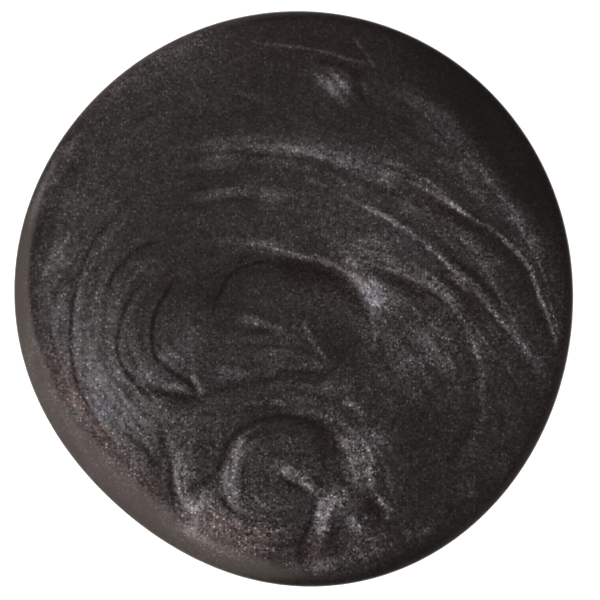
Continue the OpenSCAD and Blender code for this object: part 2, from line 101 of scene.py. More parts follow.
PEARL_STROKES = [
    # crest bands above the middle
    (0.27, 1.4, [(-7, 9.8), (-4.6, 10.15), (-2.5, 10.35), (0.7, 10.15), (3.2, 9.55), (5, 8.9)]),
    (0.16, 0.5, [(-1, 10.4), (1.2, 10.05), (3.2, 9.5), (4.8, 8.9)]),
    (0.18, 0.9, [(4.4, 9.2), (5.5, 8.7), (6.3, 8.4), (7.2, 8.1)]),
    (0.06, 1.2, [(5.6, 9.8), (6.5, 9.5), (7.8, 9)]),
    (0.2, 0.8, [(-7.4, 6.9), (-5.5, 7.15), (-4, 7.4), (-2.8, 7.3), (-1.6, 7.05), (-0.4, 7)]),
    (0.28, 0.8, [(-2.4, 7.1), (-1.5, 6.9), (-0.9, 6.8)]),
    # outer sweep
    (0.75, 0.26, [(6.6, 9.5), (7.6, 9), (8.5, 8.5), (9.3, 8.05), (10, 7.5), (10.7, 6.9), (11.4, 6.25),
        (12.3, 5.7), (13.5, 5), (14.5, 4.2), (15.4, 3.4), (16.1, 2.6), (16.6, 1.6), (17, 0.4),
        (17.4, -0.6), (17.8, -1.6), (18.2, -3)]),
    (0.7, 0.34, [(9, 8.1), (10, 7.4), (10.8, 6.75), (11.7, 6.1)]),
    (0.35, 0.25, [(8.1, 8.2), (9.2, 7.6), (10.2, 6.9), (10.9, 6.4)]),
    (0.27, 0.22, [(16.8, 3.2), (17.3, 1.8), (17.7, 0.4), (18, -1), (18.5, -2.5)]),
    (0.17, 1.8, [(6, 14.4), (7.4, 14.2), (8.3, 13.8), (9.5, 12.6), (10.4, 11.7), (11.3, 10.6),
        (12.1, 9.5), (13.1, 8.1), (14.2, 6.8), (15.4, 5.6), (16.2, 4.3), (17, 2.8), (17.5, 1.5)]),
    (0.26, 0.8, [(12.6, 9.2), (13.5, 7.9), (14.4, 6.8), (15.4, 5.6), (16.3, 4.2), (17, 2.9)]),
    (0.16, 0.45, [(6.6, 14), (8, 13.4), (9.3, 12.5), (10.2, 11.9)]),
    (0.13, 0.7, [(9.6, 9.8), (10.6, 9), (11.6, 8.2)]),
    # middle sweep
    (0.62, 0.28, [(1, 8.3), (2.1, 7.85), (3.2, 7.2), (4.4, 6.65), (5.6, 6.05), (6.5, 5.6), (7.1, 5.15),
        (8, 4.5), (9, 3.85), (10, 3.1), (10.7, 2.4), (11.4, 1.6), (12.1, 0.85), (12.9, 0.05),
        (13.7, -0.85), (14.5, -1.65), (15.3, -2.6), (15.9, -3.4)]),
    (0.1, 0.26, [(15.4, -2.6), (16.1, -3.7), (16.9, -5), (17.4, -6.9)]),
    (0.4, 0.3, [(5.6, 6.1), (6.6, 5.5), (7.4, 4.95), (8.6, 4.1), (9.8, 3.25)]),
    (0.75, 0.6, [(10.9, 2.2), (11.6, 1.4), (12.3, 0.7), (13, 0)]),
    (0.08, 1, [(11.8, 1.3), (13.2, -0.3), (14.6, -1.5), (15.6, -2.8), (16.6, -4.4)]),
    (0.07, 1, [(15.9, -2.8), (16.7, -3.8), (17.2, -5)]),
    (0.16, 1.2, [(6.2, 7), (7.6, 6.6), (8.8, 6.1), (9.8, 5.4), (11, 4.6), (12, 3.9), (13, 3.1),
        (14, 2.3), (14.8, 1.4)]),
    (0.1, 0.3, [(13, 2.2), (13.8, 1.1), (14.4, 0), (15, -0.9), (15.6, -2.1)]),
    (0.13, 0.24, [(12, -1), (13.2, -2.7), (14.4, -4.3), (15.3, -5.5), (15.95, -6.8)]),
    (0.25, 0.3, [(14.6, -4.6), (15.2, -5.4), (15.8, -6.5)]),
    # edge of the right-hand fold
    (0.2, 0.5, [(5.8, 2.7), (7.4, 2.4), (8.6, 1.95), (9.5, 1.35), (10.5, 0.6), (11.3, -0.2)]),
    (0.42, 0.42, [(3.8, 2.8), (5, 2.4), (6.4, 2.05), (7.4, 1.75), (8.4, 1.35), (9.2, 0.9), (9.9, 0.45),
        (10.6, -0.1), (11.2, -0.6)]),
    (0.15, 0.38, [(10.9, -0.4), (11.5, -1.3), (12.1, -2.3), (12.5, -3.2), (12.9, -4.4), (13.1, -5.8),
        (13.05, -7.4)]),
    (0.24, 0.7, [(8.6, 1.5), (9.6, 0.8), (10.5, 0.1), (11.2, -0.5)]),
    # bright node between the folds
    (0.6, 0.9, [(3.9, 2.3), (4.6, 1.7), (5.1, 0.9)]),
    (0.45, 0.7, [(4.6, 1.5), (5.2, 1), (5.65, 0.1), (5.7, -0.6)]),
    (0.75, 0.45, [(4.3, 1.3), (4.75, 1), (5.1, 0.5), (5.3, -0.2)]),
    (1.5, 0.85, [(3.6, 2), (4.3, 1.5), (5, 0.95), (5.45, 0.3), (5.75, -0.5)]),
    (0.1, 1.8, [(5.2, 1.6), (6.2, 0.4), (6.6, -1)]),
    (0.12, 2, [(2.8, 3.2), (4.2, 3), (5.8, 3.4), (7, 3)]),
    (0.14, 0.8, [(4.8, 4), (5.8, 3.7), (7, 3)]),
    (0.15, 0.9, [(3.4, 2.6), (4.3, 2.2), (5, 1.6)]),
    (0.1, 0.6, [(5.8, 0.2), (6.4, 0.1), (7, 0)]),
    (0.4, 0.35, [(5.4, -0.6), (5.6, -1.4), (5.7, -2.1), (5.65, -2.8), (5.4, -3.5)]),
    # upper edge of the centre fold
    (0.3, 0.36, [(-5.4, 4.1), (-3.95, 4), (-1.9, 3.8), (-0.9, 3.45), (0.1, 3.1), (1, 2.87), (2, 2.62),
        (3, 2.22), (4, 1.6), (4.7, 1)]),
    (0.1, 0.9, [(-2, 3.8), (0.1, 3.3), (1.75, 2.9), (3.2, 2.3)]),
    (0.07, 1, [(-5.2, 1.8), (-3.6, 2.6), (-1.8, 3.1), (-0.4, 3)]),
    (0.06, 1.6, [(-11, 3), (-9.6, 2), (-8.8, 2.6)]),
    # inside the centre fold
    (0.06, 0.4, [(-3.5, -1.3), (-2.7, -1.45), (-2.4, -1.8), (-1.6, -1.9), (-0.9, -2.2), (-0.7, -2.9)]),
    (0.18, 0.8, [(-3, -1.6), (-2.6, -1.6), (-2.3, -1.7)]),
    (0.1, 1.4, [(-3.9, -1), (-3, -1.4), (-2.3, -2)]),
    (0.32, 0.34, [(0.7, -1.3), (0.8, -1.9), (1.1, -2.5), (1.6, -3.2), (2.1, -3.8), (2.5, -4.4)]),
    (0.08, 2.4, [(-2, -3.8), (0, -3.6)]),
    (0.14, 0.7, [(0.2, -4.7), (0.9, -4.4), (1.8, -4.5)]),
    (0.14, 1, [(-5.6, -5.2), (-4.4, -5.2), (-3.3, -5.5)]),
    # left fold and its drip
    (0.44, 0.5, [(-6.95, -4.3), (-6.95, -5), (-6.8, -5.7), (-6.5, -6.5)]),
    (0.16, 1.1, [(-9.2, -3.7), (-8.5, -4.3), (-7.4, -5)]),
    (0.1, 3, [(-8, -2.5), (-6.8, -3.6)]),
    (0.2, 0.45, [(-8.9, -6.05), (-8.2, -6.15), (-7.5, -6.3)]),
    (0.08, 1.6, [(-10.7, -4.6), (-10.2, -5.4), (-9.6, -6)]),
    # left field, with two single bright flakes, and its brightest patch
    (0.9, 0.3, [(-17.2, 1.1), (-17.1, 1.15)]),
    (0.9, 0.3, [(-16.1, 2.9), (-16, 2.95)]),
    (0.16, 1.1, [(-16.2, -1), (-16.1, -3.4), (-15.5, -5.6), (-14.6, -7.6), (-13.2, -9.6),
        (-11.6, -11.4)]),
    (0.17, 4.6, [(-16, 4.2), (-16.4, 2), (-16.5, 0), (-16.2, -3), (-15.2, -5.6)]),
    (0.09, 4, [(-13.4, 2), (-13.8, -1), (-13.8, -4)]),
    (0.34, 2.7, [(-15, -3.6), (-14.2, -5.5), (-13.3, -6.8), (-12.4, -7.8), (-11.6, -8.7), (-11, -9.8)]),
    (0.12, 4.5, [(-13, -4.5), (-12.4, -6.5), (-11, -8.5)]),
    (0.26, 0.4, [(-10.6, -9.2), (-10.1, -9.9), (-9.6, -10.6), (-9.2, -11.2), (-8.7, -12.1)]),
    # drip to the lower left
    (0.75, 0.62, [(-8.3, -10.7), (-8.1, -11.3), (-7.95, -12), (-7.85, -13), (-7.6, -13.8),
        (-7.2, -14.5), (-6.8, -15.1)]),
    (0.24, 1.1, [(-7.6, -11.2), (-7.5, -12.2), (-7.45, -13.2)]),
    (0.5, 0.5, [(-8.15, -11.5), (-8.1, -12), (-8, -12.5)]),
    (0.55, 0.9, [(-8.1, -14.6), (-7.4, -14.8), (-6.8, -14.8)]),
    (0.6, 0.6, [(-7, -14.3), (-6.6, -13.95), (-6.2, -13.9)]),
    # partly painted highlight: bright pearl below the drip running onto the rim, strongest where the
    # light's reflection on the rim is brightest
    (0.5, 1.2, [(-7.4, -15.5), (-6.6, -16.1), (-5.7, -16.8)]),
    (0.85, 0.75, [(-6.9, -14.9), (-6.6, -14.2), (-6.25, -13.7), (-5.8, -13.3)]),
    # partly painted highlight: more pearl on the rim below the drip, inside the light's reflection
    # there
    (0.28, 1.2, [(-7.6, -15.4), (-6.6, -16), (-5.4, -16.4)]),
    (0.2, 0.9, [(-12, -12), (-11.4, -12.5), (-10.6, -13)]),
    (0.12, 2.2, [(-13.4, -9.8), (-11.6, -11.6), (-9.8, -13)]),
    (0.19, 1.6, [(-5.8, -15.7), (-3.6, -16.3), (-1.4, -16.5), (0, -16.4)]),
    # knot
    (0.66, 0.9, [(-3.4, -9.7), (-3.75, -10.5), (-4.05, -11.4), (-4.3, -12.3), (-4.25, -13.2),
        (-4, -14.1), (-3.6, -14.9)]),
    (0.3, 0.3, [(-3.6, -9.9), (-3.85, -10.6), (-3.95, -11.5)]),
    (0.42, 0.8, [(-3.1, -9.5), (-3.4, -10), (-3.7, -10.6)]),
    (0.35, 0.5, [(-4.35, -11.6), (-4.6, -12.5), (-4.55, -13.4), (-4.2, -14.2)]),
    (0.3, 0.34, [(-4.15, -11.1), (-4.45, -12), (-4.6, -13), (-4.5, -13.8), (-4.1, -14.7)]),
    (0.92, 0.6, [(-1.2, -11.6), (-0.6, -12), (0, -12.3), (0.7, -12.7), (1.5, -13.3)]),
    (0.32, 0.8, [(-0.8, -11.8), (0.2, -12.2), (1.1, -12.7)]),
    (0.08, 2.2, [(-2.6, -10.6), (-1.2, -10.8), (0, -11)]),
    (0.12, 0.25, [(-3.1, -10.4), (-2.2, -9.7), (-1, -9.4), (0.1, -9.8)]),
    (0.12, 0.25, [(-3.3, -12.4), (-2.9, -13.4), (-2.1, -14.2), (-1, -14.5), (0.2, -14.3)]),
    (0.14, 0.25, [(-3.9, -15.3), (-2.8, -15.9), (-1.4, -16.1), (-0.2, -15.7)]),
    (0.12, 0.9, [(3.8, -10.8), (4, -11.6), (4.3, -12.4)]),
    (0.66, 0.9, [(3.2, -9.4), (3.9, -10), (4.4, -10.6), (4.4, -11.5), (4.45, -12.3), (4.7, -13)]),
    (0.42, 0.5, [(4.9, -10), (5.3, -10.9), (5.35, -11.8), (5.3, -12.7), (5.25, -13.4)]),
    (0.2, 0.9, [(5.1, -10.5), (5.7, -10.8), (6.1, -11.2)]),
    (0.38, 1.4, [(5.2, -9.4), (5.7, -9.8), (6.3, -9.9)]),
    (0.09, 1.2, [(6.2, -10.8), (6.5, -12), (6.6, -13.4)]),
    (1.05, 0.44, [(5.8, -13.7), (6.25, -14.2), (6.5, -14.8), (6.45, -15.4)]),
    (1, 0.9, [(2.9, -13.5), (2.4, -14), (2.1, -14.6), (2, -15.2), (1.95, -15.9), (1.7, -16.5)]),
    (0.34, 1, [(2.9, -13.6), (2.8, -14.8), (2.4, -15.6)]),
    (0.16, 1, [(1.6, -16.4), (1.4, -17), (1.1, -17.6)]),
    (0.36, 0.7, [(3.6, -15.2), (4.3, -15.8), (5.1, -16.2)]),
    (0.8, 0.3, [(5, -15), (5.2, -15.1)]),
    (0.7, 0.3, [(5.5, -15.05), (5.6, -15.25)]),
    (0.15, 0.9, [(3.8, -17.2), (5.4, -16.9), (7, -16.4)]),
    (0.18, 0.7, [(7.4, -16.4), (8.8, -16), (9.9, -15.5)]),
    # painted highlight: this stroke and the next lay a pale line of pearl along the rim at the bottom,
    # where a reflection of the light runs
    (0.22, 1, [(-0.8, -18.4), (0.8, -18.5), (2.2, -18.5)]),
    (0.2, 1.1, [(1.2, -18.5), (2.8, -18.6), (4.6, -18.2), (5.8, -17.8)]),
    (0.28, 0.7, [(-6.3, -15.3), (-5, -16.3), (-3.4, -16.9), (-1.8, -17.2), (-0.6, -17.3)]),
    (0.25, 0.22, [(-5.4, -16.4), (-4, -16.9), (-2.8, -17.2), (-1.4, -17.4)]),
    (0.14, 0.2, [(1.8, -8.2), (3.2, -9), (4.2, -10.2), (4.8, -11.6)]),
    (0.12, 0.2, [(2.4, -8), (3.8, -8.8), (4.9, -10), (5.4, -11.2)]),
    # arcs over the knot
    (0.13, 0.35, [(-1.4, -6.8), (0.4, -6.95), (1.4, -7.15), (2.3, -7.4), (3, -7.85), (3.6, -8.5)]),
    (0.3, 0.4, [(3.4, -7.15), (4.1, -7.35), (4.6, -7.8), (4.7, -8.3)]),
    (0.2, 0.35, [(0.2, -7.8), (1.2, -7.95), (2.2, -8.2), (3, -8.5)]),
    (0.07, 0.3, [(-3.4, -7.4), (-2, -7.1), (-0.6, -7.3)]),
    (0.16, 0.5, [(2, -5.7), (2.8, -5.95)]),
    (0.16, 0.5, [(3.5, -5.7), (4.1, -6.2)]),
    (0.09, 2.2, [(-2, -6.8), (1, -6.4), (3.6, -6.6)]),
    # top line and wisp
    (0.13, 0.18, [(-3, 17.8), (-1.1, 17.63), (1.45, 17.28), (3.7, 16.7), (5.6, 16.2)]),
    (0.16, 0.18, [(4.2, 18.3), (4.5, 17.7), (5.3, 16.7), (5.6, 16.1)]),
    (0.7, 1.2, [(2.5, 15.4), (3.1, 14.8), (3.5, 14.2)]),
    (0.24, 1.8, [(1.9, 15.8), (2.7, 15.2), (3.4, 14.5)]),
    (0.14, 0.5, [(4.9, 15.3), (4.9, 14.1)]),
    (0.07, 0.9, [(2, 6.2), (2.8, 6.2)]),
    (0.08, 0.35, [(3.4, 8.7), (3.45, 7.7)]),
    # upper left rim
    (0.17, 1.1, [(-3.6, 19.3), (-7.4, 18.2), (-10.8, 16.3), (-13.4, 14), (-15.4, 11.6)]),
    (0.65, 0.8, [(-15.4, 11.4), (-16.6, 9.3), (-17.5, 7.3), (-18.2, 5.4)]),
    # haze inside the right-hand fold and at the lower right
    (0.13, 4.4, [(7.4, -1.6), (8.8, -3.2), (9.6, -5)]),
    (0.1, 1.2, [(6.4, 0.2), (7.6, -0.4)]),
    (0.2, 2.2, [(9.8, -1.8), (10.7, -3.2), (11.1, -4.8)]),
    (0.05, 3, [(7.4, -5), (8, -8)]),
    (0.08, 0.7, [(13.3, -7.6), (12.9, -8.9), (12.1, -10.4), (11, -11.8)]),
    (0.14, 1, [(14.2, -11.8), (14.8, -11.8)]),
    (0.12, 1, [(12, -13.4), (12.6, -13.4)]),
]

CREASE_STROKES = [
    # rings of the left-hand folds
    (0.68, 0.24, [(-8.2, 1.5), (-8.9, 0.4), (-9.4, -0.6), (-9.7, -1.5), (-9.8, -2.6), (-9.75, -3.4),
        (-9.4, -4.3), (-8.6, -5.1), (-7.8, -5.5), (-7.1, -5.9), (-6.8, -6.4), (-6.6, -7)]),
    (0.6, 0.45, [(-8.7, -5.1), (-7.8, -5.55), (-7, -6), (-6.7, -6.8)]),
    (0.4, 0.7, [(-9.2, 0.4), (-8.6, 1), (-8, 1.7)]),
    (0.3, 1.5, [(-7.2, 0.9), (-6.2, 0.4), (-5.6, -0.4)]),
    (0.4, 0.3, [(-11.7, -4.8), (-11.1, -5.7), (-10.4, -6.5), (-9.8, -7.1)]),
    (0.31, 0.24, [(-10.1, 1.6), (-10.8, 0.8), (-11.4, -0.1), (-11.8, -1.2), (-12.15, -2.6),
        (-12.15, -4.1), (-11.6, -5.2), (-11, -6), (-10.3, -6.7)]),
    (0.34, 0.3, [(-9.1, 4.1), (-10.2, 3.75), (-11.15, 3.25), (-12.4, 1.8), (-13, 0.4)]),
    (0.36, 0.24, [(-11.5, 6.7), (-12.5, 5.6), (-13.9, 3.95), (-14.55, 2.55), (-15.15, 0.4),
        (-15.5, -1.45), (-15.45, -3.9), (-15.05, -5.95), (-14.4, -7.2), (-13.2, -9.15),
        (-12.1, -10.3)]),
    (0.4, 0.9, [(-14.6, 10.4), (-16.2, 8.1), (-17.2, 5.8), (-17.8, 3.4)]),
    (0.2, 0.8, [(-18, 2.6), (-18, 0), (-17.5, -2.7), (-16.7, -5)]),
    (0.9, 1.4, [(-17.9, 5.6), (-18.7, 3), (-18.9, 0.6), (-18.6, -2)]),
    (0.5, 0.5, [(-9.9, -6.3), (-8.7, -6.75), (-7.7, -6.9), (-6.7, -6.95)]),
    (0.6, 0.8, [(-8.9, -7.2), (-7.8, -7.3), (-6.9, -7.2)]),
    # shade under the centre fold's upper edge
    (0.5, 0.24, [(-5.7, -1.2), (-5.4, -0.2), (-5, 0.8), (-4.3, 1.7), (-3.3, 2.3), (-2, 2.6),
        (0, 2.65)]),
    (0.7, 1, [(-1.8, 2.1), (-0.8, 2.2), (0.1, 2.1), (1.9, 1.75), (3.3, 1.1), (4.2, 0.3), (4.8, -0.8),
        (5.1, -1.8)]),
    (0.3, 0.9, [(-5.2, 0.2), (-4.3, 1.5), (-3.2, 2.1), (-2, 2.3)]),
    (0.5, 1.6, [(-1, 1.7), (0.6, 1.5), (2, 1.3), (3.3, 0.5)]),
    (0.6, 0.9, [(-2.2, 2.3), (-0.8, 2.35), (0.8, 2.25), (2.2, 1.85), (3.4, 1.1), (4.3, 0.1)]),
    (0.3, 1, [(1.1, -1.2), (1.6, -2), (2.3, -3)]),
    (0.45, 1.6, [(2.9, -1.2), (3.4, -2.8), (3.9, -4.2)]),
    (0.25, 0.4, [(-3.3, -2.4), (-2.4, -2.15), (-1.4, -2.2)]),
    # lower crease of the centre fold
    (0.22, 0.35, [(-6.7, -6.95), (-5, -6.3), (-3.5, -6), (-1.5, -5.4), (-0.7, -5), (0.8, -5.05),
        (2.25, -5.15), (3.2, -4.6)]),
    (0.1, 0.6, [(-0.8, -5.2), (0.6, -5.35), (2.4, -5.4)]),
    # under the right-hand fold's edge
    (0.65, 0.7, [(5.6, 1.8), (6.5, 1.45), (7.4, 1.05), (8.5, 0.5), (9.3, -0.1), (10, -0.8),
        (10.8, -1.6), (11.5, -2.5), (12.1, -3.8), (12.5, -5.2)]),
    (0.14, 1.4, [(6.8, 0.9), (8.4, 0), (9.8, -1.2)]),
    (0.7, 0.55, [(5.3, 1.85), (6, 1.7), (7, 1.4), (7.8, 1.1)]),
    (0.25, 0.34, [(12.9, -7.2), (12.35, -8.8), (11.5, -10.3), (10.4, -11.6)]),
    (0.6, 0.6, [(9.8, 2.1), (10.6, 1.3), (11.5, 0.3), (12.5, -0.8), (13.5, -1.9)]),
    # between the sweeps
    (0.6, 0.75, [(7.6, 7.9), (8.8, 7.2), (10, 6.3), (11.3, 5.5), (12.8, 4.7), (14, 3.8), (15.2, 2.7),
        (16.1, 1.2), (16.7, -0.4), (17.3, -2.2), (17.8, -3.8)]),
    (0.35, 0.4, [(10.6, 3.3), (12, 2), (13.3, 0.8), (14.5, -0.5)]),
    (0.3, 0.6, [(5, 7.4), (6.6, 7.2), (8, 7), (9.4, 6.6)]),
    (0.12, 0.6, [(-7, 8.7), (-4, 9.3), (-1, 9.4), (2, 8.8), (4.6, 8)]),
    # outer dark field and rim
    (0.65, 3.2, [(6, 18.6), (9, 17.2), (12, 14.4), (14.6, 11.4), (16.6, 8.4), (18.2, 5.6), (18.9, 2.4),
        (19, -1)]),
    (0.45, 1.2, [(11.8, 12.8), (13.3, 10.9), (14.8, 8.9), (16.4, 6.6), (17.6, 4.4)]),
    (0.4, 2, [(17.8, -6.6), (17, -9), (15.4, -11.6), (13, -14), (10.4, -16), (7.4, -17.6)]),
    (0.35, 1.2, [(16.8, -6.4), (17.2, -7.2)]),
    (0.35, 1.3, [(15.2, -11.2), (15.8, -11.6)]),
    # beside the drip
    (0.35, 0.4, [(-9.2, -8.8), (-9.1, -10.3), (-8.7, -11.2), (-8.6, -12.6), (-8.4, -14.2)]),
    (0.34, 0.36, [(-11.6, -9.3), (-10.6, -10.1), (-9.9, -11), (-9.3, -12)]),
    (0.45, 1.5, [(-6, -9.4), (-6.2, -10.8), (-6.2, -12), (-6.6, -12.7)]),
    (0.7, 0.6, [(-6.8, -12.6), (-6.95, -13.2), (-6.85, -13.7)]),
    # knot
    (0.62, 0.3, [(-7, -13.1), (-6.3, -12.85), (-5.7, -12.4), (-5.2, -11.9), (-4.95, -11), (-4.6, -10.2),
        (-4, -9.4), (-3.2, -8.8), (-2.2, -8.35), (-1, -8.15), (0, -8.2), (1, -8.5), (1.8, -8.9),
        (2.5, -9.4), (3, -10.2)]),
    (0.55, 0.6, [(-0.6, -8.4), (0.6, -8.6), (1.6, -9.1), (2.5, -9.9), (3.1, -11)]),
    (0.7, 1.4, [(1.3, -9.5), (2, -10.3), (2.6, -11.4)]),
    (0.2, 0.3, [(-3.2, -10.9), (-3.35, -11.8), (-3.5, -12.8), (-3.45, -13.6)]),
    (0.65, 0.36, [(1.65, -13.8), (1.3, -14.8), (1.1, -15.8), (0.6, -16.8), (0.35, -17.6),
        (0.5, -18.2)]),
    (0.25, 0.4, [(0.7, -16.5), (0, -16.95), (-1.2, -17.3)]),
    (0.5, 0.3, [(-5.1, -13.7), (-4.75, -14.15), (-4.2, -14.8)]),
    (0.4, 0.7, [(-5.4, -13.8), (-4.9, -14.1), (-4.5, -14.7)]),
    (0.65, 0.4, [(-1.1, -12.25), (-0.5, -12.75), (0.3, -13.1), (1.1, -13.5)]),
    (0.5, 0.5, [(1.5, -12.55), (2.1, -12.7)]),
    (0.8, 0.6, [(2.6, -12), (3.2, -12.6), (3.7, -13.2)]),
    (0.16, 0.26, [(-4.7, -14.2), (-3.7, -15), (-2.2, -15.4), (-0.6, -15.45), (0.8, -15)]),
    (0.12, 0.22, [(-4.2, -13.7), (-3.3, -14.45), (-2, -14.8), (-0.7, -14.8), (0.4, -14.4)]),
    (0.6, 0.6, [(3.8, -13.4), (4.7, -13.7), (5.5, -14.3), (5.75, -15.1), (5.3, -15.9)]),
    (1, 1.05, [(4.7, -14.4), (5.3, -14.7), (5.3, -15.3)]),
    (0.5, 0.9, [(3.2, -14.8), (2.9, -15.7), (2.7, -16.6), (2.4, -18.1)]),
    (0.25, 0.6, [(0.5, -17.7), (0.6, -18.3)]),
    (0.15, 0.5, [(-1, -7), (1, -6.8), (3.4, -6.9)]),
    (0.15, 0.4, [(-4, -8), (-3, -7.7), (-1.6, -7.6), (0.2, -7.5)]),
    # top
    (0.2, 1.2, [(1.2, 17.2), (2.6, 17), (3.8, 16.8)]),
    (0.25, 0.5, [(1.6, 16.5), (3.5, 16.2), (4.3, 15.7), (5, 15.4)]),
    (0.5, 0.25, [(-8.5, -15.1), (-8.1, -15.15), (-7.5, -15.3), (-7.1, -15.2)]),
    (0.9, 0.9, [(-13.4, -13.4), (-10.6, -15.9), (-7.2, -17.9), (-3.6, -19.1), (-0.6, -19.5),
        (2, -19.6)]),
    (0.7, 0.9, [(1, -19.9), (4, -19.6), (6, -18.8), (8.4, -17.8), (11, -16.6)]),
]

COPPER_STROKES = [
    (1, 0.7, [(-15.65, -3.8), (-15.35, -5.5), (-14.8, -7.3), (-13.7, -8.95), (-12.3, -10.4),
        (-11.3, -11.2)]),
    (0.6, 1.6, [(-16.9, -3.6), (-16.2, -5.4), (-15.2, -7.6)]),
    (0.6, 2, [(-14.6, -9.2), (-12.6, -10.8), (-10.6, -12.4), (-8.8, -14)]),
    (0.75, 1.9, [(-6.4, -15), (-4.65, -16.2), (-2.6, -16.6), (-0.4, -16.8)]),
    (0.6, 0.7, [(-7.4, -15), (-6.6, -15.8), (-5.4, -16.3)]),
    (0.85, 2.2, [(1.2, 18.3), (3, 17.6), (5, 16.8)]),
    (0.5, 3, [(-5, 17.4), (-2, 17.8), (2, 17.8)]),
    (1, 1, [(2, 16.4), (3.5, 16.2), (4.7, 15.5)]),
    (0.65, 1.7, [(0.2, -18), (1, -17.4), (2.4, -16.8), (3, -15.8)]),
    (0.4, 0.9, [(1.4, -8.9), (2.6, -9.8), (3, -10.9)]),
    (0.5, 1, [(4.6, -14.6), (5.9, -14.9), (5.9, -15.8)]),
    (0.5, 1.6, [(-1, 2), (1, 1.9), (3.2, 1), (4.4, -0.2)]),
    (0.5, 1, [(-10, 0.9), (-8.4, 1.1)]),
    (0.45, 0.7, [(7, 1.3), (8.6, 0.5), (10, -0.5)]),
    (0.45, 0.6, [(10.3, 1.7), (11.7, 0.5), (13.2, -1.4)]),
    (0.3, 0.9, [(8.6, 6.9), (10.9, 5.7), (12.6, 4.8)]),
    (0.4, 0.5, [(-9, 0.6), (-8.3, 1.4)]),
    (0.4, 1.8, [(3.4, -17.6), (5.4, -17.1), (8, -16.4)]),
    (0.35, 0.9, [(17.8, -7.4), (17.1, -9.6), (15.6, -12), (13.4, -14.4)]),
    (0.35, 0.8, [(-17.6, 8.4), (-14.2, 13.4), (-10, 16.8), (-5, 19)]),
    (0.3, 0.6, [(-18.3, 4.6), (-18.5, 1.4), (-17.8, -2.7), (-16.6, -6)]),
]

COOL_STROKES = [
    (0.6, 2, [(-9, -4), (-8, -4.6)]),
    (0.6, 1, [(-9, -6), (-7.4, -6.3)]),
    (0.8, 3, [(-13.4, -6.2), (-12.2, -7.6)]),
    (0.45, 2, [(-15.8, -1), (-15.4, -3)]),
    (0.5, 1.6, [(15.9, -3), (17, -4.6)]),
    (0.5, 1.6, [(13.6, 7.8), (16.2, 4.4)]),
    (0.5, 1.4, [(5.2, -9.4), (6, -9.8)]),
    (0.5, 1, [(3.7, -15.2), (4.6, -15.9)]),
    (0.5, 1.4, [(-5.6, -5.2), (-3.3, -5.7)]),
    (0.5, 1.2, [(5, 1), (5.7, -0.8)]),
    (0.45, 0.8, [(1.9, -14), (1.8, -15.6)]),
    (0.45, 1.4, [(6.6, 5.2), (9.4, 3.2)]),
    (0.4, 2, [(2.8, 15.2), (4.9, 14.4)]),
    (0.4, 1.2, [(-4.5, -12), (-4.3, -13.6)]),
    (0.35, 2.4, [(2, 10), (6, 9)]),
    (0.35, 2, [(8, -3), (9.6, -4.6)]),
    (0.4, 3, [(9.4, 12.6), (11.4, 10.6)]),
]

# Broad swells of the face's tone: (strength, x, y, radius).
TONE_SWELLS = [
    (0.26, -17, -5.5, 5), (0.12, -16, 2, 5), (0.12, -16, 8, 5), (0.08, -11, 13, 6), (0.07, -9.5, 17, 4),
    (0.06, -6, 17.5, 4), (0.09, 0, 8, 5), (0.12, 5, 7, 4), (0.06, 11, 9, 4), (0.05, 8, 3, 3),
    (0.05, 0, 1, 3), (0.15, 4.6, 0.2, 3), (0.13, 8.6, 0, 3), (0.07, -10, -3, 3.5), (0.16, -9, -9, 4),
    (0.26, -12.5, -8.5, 4), (0.13, -4.5, -12.5, 4), (0.4, -5.5, -16.5, 3.5), (0.08, 4.4, -9, 4),
    (0.08, -3, -4, 3), (0.06, 9, -4, 3), (0.08, 3.6, -12.5, 3), (0.09, 14.5, -3, 4), (-0.08, 13, 13, 5),
    (-0.03, 16, -5, 3), (-0.05, 17, 8, 3), (-0.03, 4, 12.4, 2), (-0.02, 10, -12, 5),
    (-0.06, 8, -8.6, 3), (0.06, 3, -16, 3), (0.04, -4, 4, 3), (0.04, -9.5, 4.5, 4), (0.03, 12, -12, 5),
]
BASE_PEARL = 0.094  # strength of the pearl where nothing is drawn
PEARL_LEAST, PEARL_MOST = 0.02, 2
PEARL_LINE_GAIN, CREASE_LINE_GAIN = 1.65, 3.6  # how much more strongly the fine strokes are drawn
CREASE_GAIN = 1.4
MOTTLE_SIZE = 1.1
UNSTIRRED = 0.35  # how streaky the ground is where nothing is drawn, as a share
STIRRED_AT = 0.08  # the strokes' strength from which it is fully streaky
WARP, WARP_SIZE = 0.1, 1.7  # how far strokes stray from their lines, and how often

FINE_STROKE = 0.5  # strokes up to this width are fine
BROAD_HALF, FINE_HALF = 0.6, 0.47  # how far a stroke's strength spreads, as a share of its width
STROKE_REACH = 1.6  # past this share of its width a stroke is nothing
END_FADE, END_STRENGTH = 0.18, 0.25  # the share of its length where it fades, and what is left

FIELDS = ("pearl", "crease", "copper", "cool")
FIELD_HALF = 20.4  # half size of the square on which the streaks are worked out
FIELD_STEP, FLOW_STEP = 0.12, 0.6  # spacing of the streaks' grid and of the flow's
BROADEST_GUIDE = 2.4  # strokes wider than this don't guide the flow
GUIDE_SOFTNESS, GUIDE_FALL = 0.25, 1.5  # how a stroke's guidance fades with distance
RIM_RADIUS, RIM_PULL, RIM_SOFTNESS, RIM_NEAREST = 20, 3, 0.5, 0.3  # the rim guides the flow too


def bell(angle, turn, spread):
    """A share from 0 to 1 for each angle, highest at a turn."""
    apart = (angle - math.radians(turn) + 3 * math.pi) % (2 * math.pi) - math.pi
    return np.exp(-((apart / math.radians(spread)) ** 2))


def outline_radius(angle):
    oval = OVAL * np.cos(2 * (angle - math.radians(OVAL_TURN)))
    lobes = LOBING * np.cos(3 * (angle - math.radians(LOBING_TURN)))
    square = SQUARENESS * np.cos(4 * (angle - math.radians(SQUARE_TURN)))
    flat = FLAT_DEPTH * bell(angle, FLAT_TURN, FLAT_SPREAD)
    return MEAN_RADIUS * (1 + oval + lobes + square - flat)


